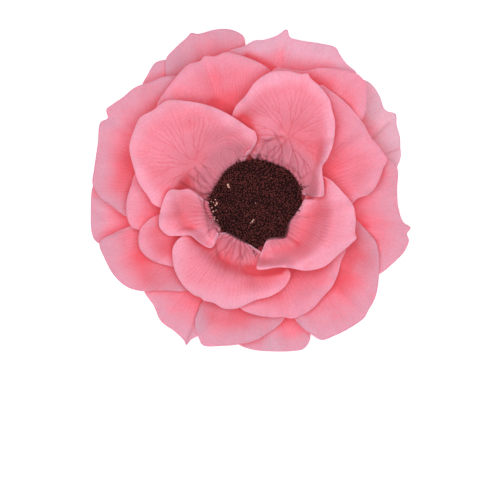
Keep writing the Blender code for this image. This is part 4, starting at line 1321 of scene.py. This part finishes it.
scatter = Growth("crumbs", {"Size": CRUMB_SIZE * MM, "Seed": CRUMB_SEED})
seed = scatter.input("Seed")
bit = scatter.node("GeometryNodeMeshIcoSphere", None, {"Radius": 0.5, "Subdivisions": 2})
sockets = {"Vector": scatter.place(), "Scale": 2.2}
dent = scatter.node("ShaderNodeTexNoise", None, sockets, output="Color")
bit = scatter.moved(bit, Offset=scatter.vectors("SUBTRACT", dent, (0.5, 0.5, 0.5)))
tumble = scatter.vector(scatter.random(0.0, 6.28, seed), scatter.random(0.0, 6.28, seed + 1),
                        scatter.random(0.0, 6.28, seed + 2))
size = scatter.input("Size") * scatter.amount("share")
scale = scatter.vector(size, size * scatter.random(0.8, 2.0, seed + 3), size)
planted = scatter.planted(scatter.input("Geometry"), bit, tumble, scale)
crumb_mesh = scatter.grown("boss_crumbs", crumb_base, planted, pollen_finish)
add_piece("boss_crumbs", crumb_mesh, pollen_finish, "centre_boss", "centre_boss")

# Studio: a plain pale floor under soft, even light, seen straight from above through a long lens.
# The frame is as wide as the photograph's, with the head as far above its middle.

FRAME_WIDTH = 141.6
FRAME_MIDDLE = (-1.6, -12.7)
SENSOR_WIDTH = 36.0

# These are in metres, as Blender takes them
CAMERA_HEIGHT = 1.6
FLOOR_REACH = 3.0
OVERHEAD_PLACE = (-0.02, -0.04, 1.0)
OVERHEAD_SIZE = 0.9

# How strongly the floor, the light above and the room shine
PAPER_GLOW = 0.45
OVERHEAD_POWER = 9.8
ROOM_LIGHT = 0.35

floor_mesh = bpy.data.meshes.new("floor")
bm = bmesh.new()
bmesh.ops.create_grid(bm, x_segments=1, y_segments=1, size=FLOOR_REACH)
bm.to_mesh(floor_mesh)
bm.free()
floor = shown("floor", floor_mesh)
paper = Finish("pale_paper", {
    "Specular IOR Level": 0.1,
    "Emission Color": colour(255, 255, 255),
    "Emission Strength": PAPER_GLOW,
})
fibre = paper.noise(paper.place(), 1.5, detail=3)
paper_colour = paper.mix(colour(246, 246, 246), colour(250, 250, 250), fibre)
floor_mesh.materials.append(paper.done(paper_colour, 0.9 + 0.05 * fibre))

overhead = bpy.data.lights.new("overhead_light", "AREA")
overhead.size = OVERHEAD_SIZE
overhead.energy = OVERHEAD_POWER
soft_box = shown("overhead_light", overhead)
soft_box.location = OVERHEAD_PLACE
soft_box.rotation_euler = (-soft_box.location).to_track_quat("-Z", "Y").to_euler()

scene = bpy.context.scene
scene.view_settings.view_transform = "Standard"
world = bpy.data.worlds.new("white_room")
world.use_nodes = True
background = world.node_tree.nodes["Background"]
background.inputs["Color"].default_value = (1.0, 1.0, 1.0, 1.0)
background.inputs["Strength"].default_value = ROOM_LIGHT
scene.world = world

lens = bpy.data.cameras.new("camera")
lens.sensor_width = SENSOR_WIDTH
lens.lens = SENSOR_WIDTH * CAMERA_HEIGHT / (FRAME_WIDTH * MM)
lens.clip_end = 20.0
camera = shown("camera", lens)
camera.location = (FRAME_MIDDLE[0] * MM, FRAME_MIDDLE[1] * MM, CAMERA_HEIGHT)
scene.camera = camera
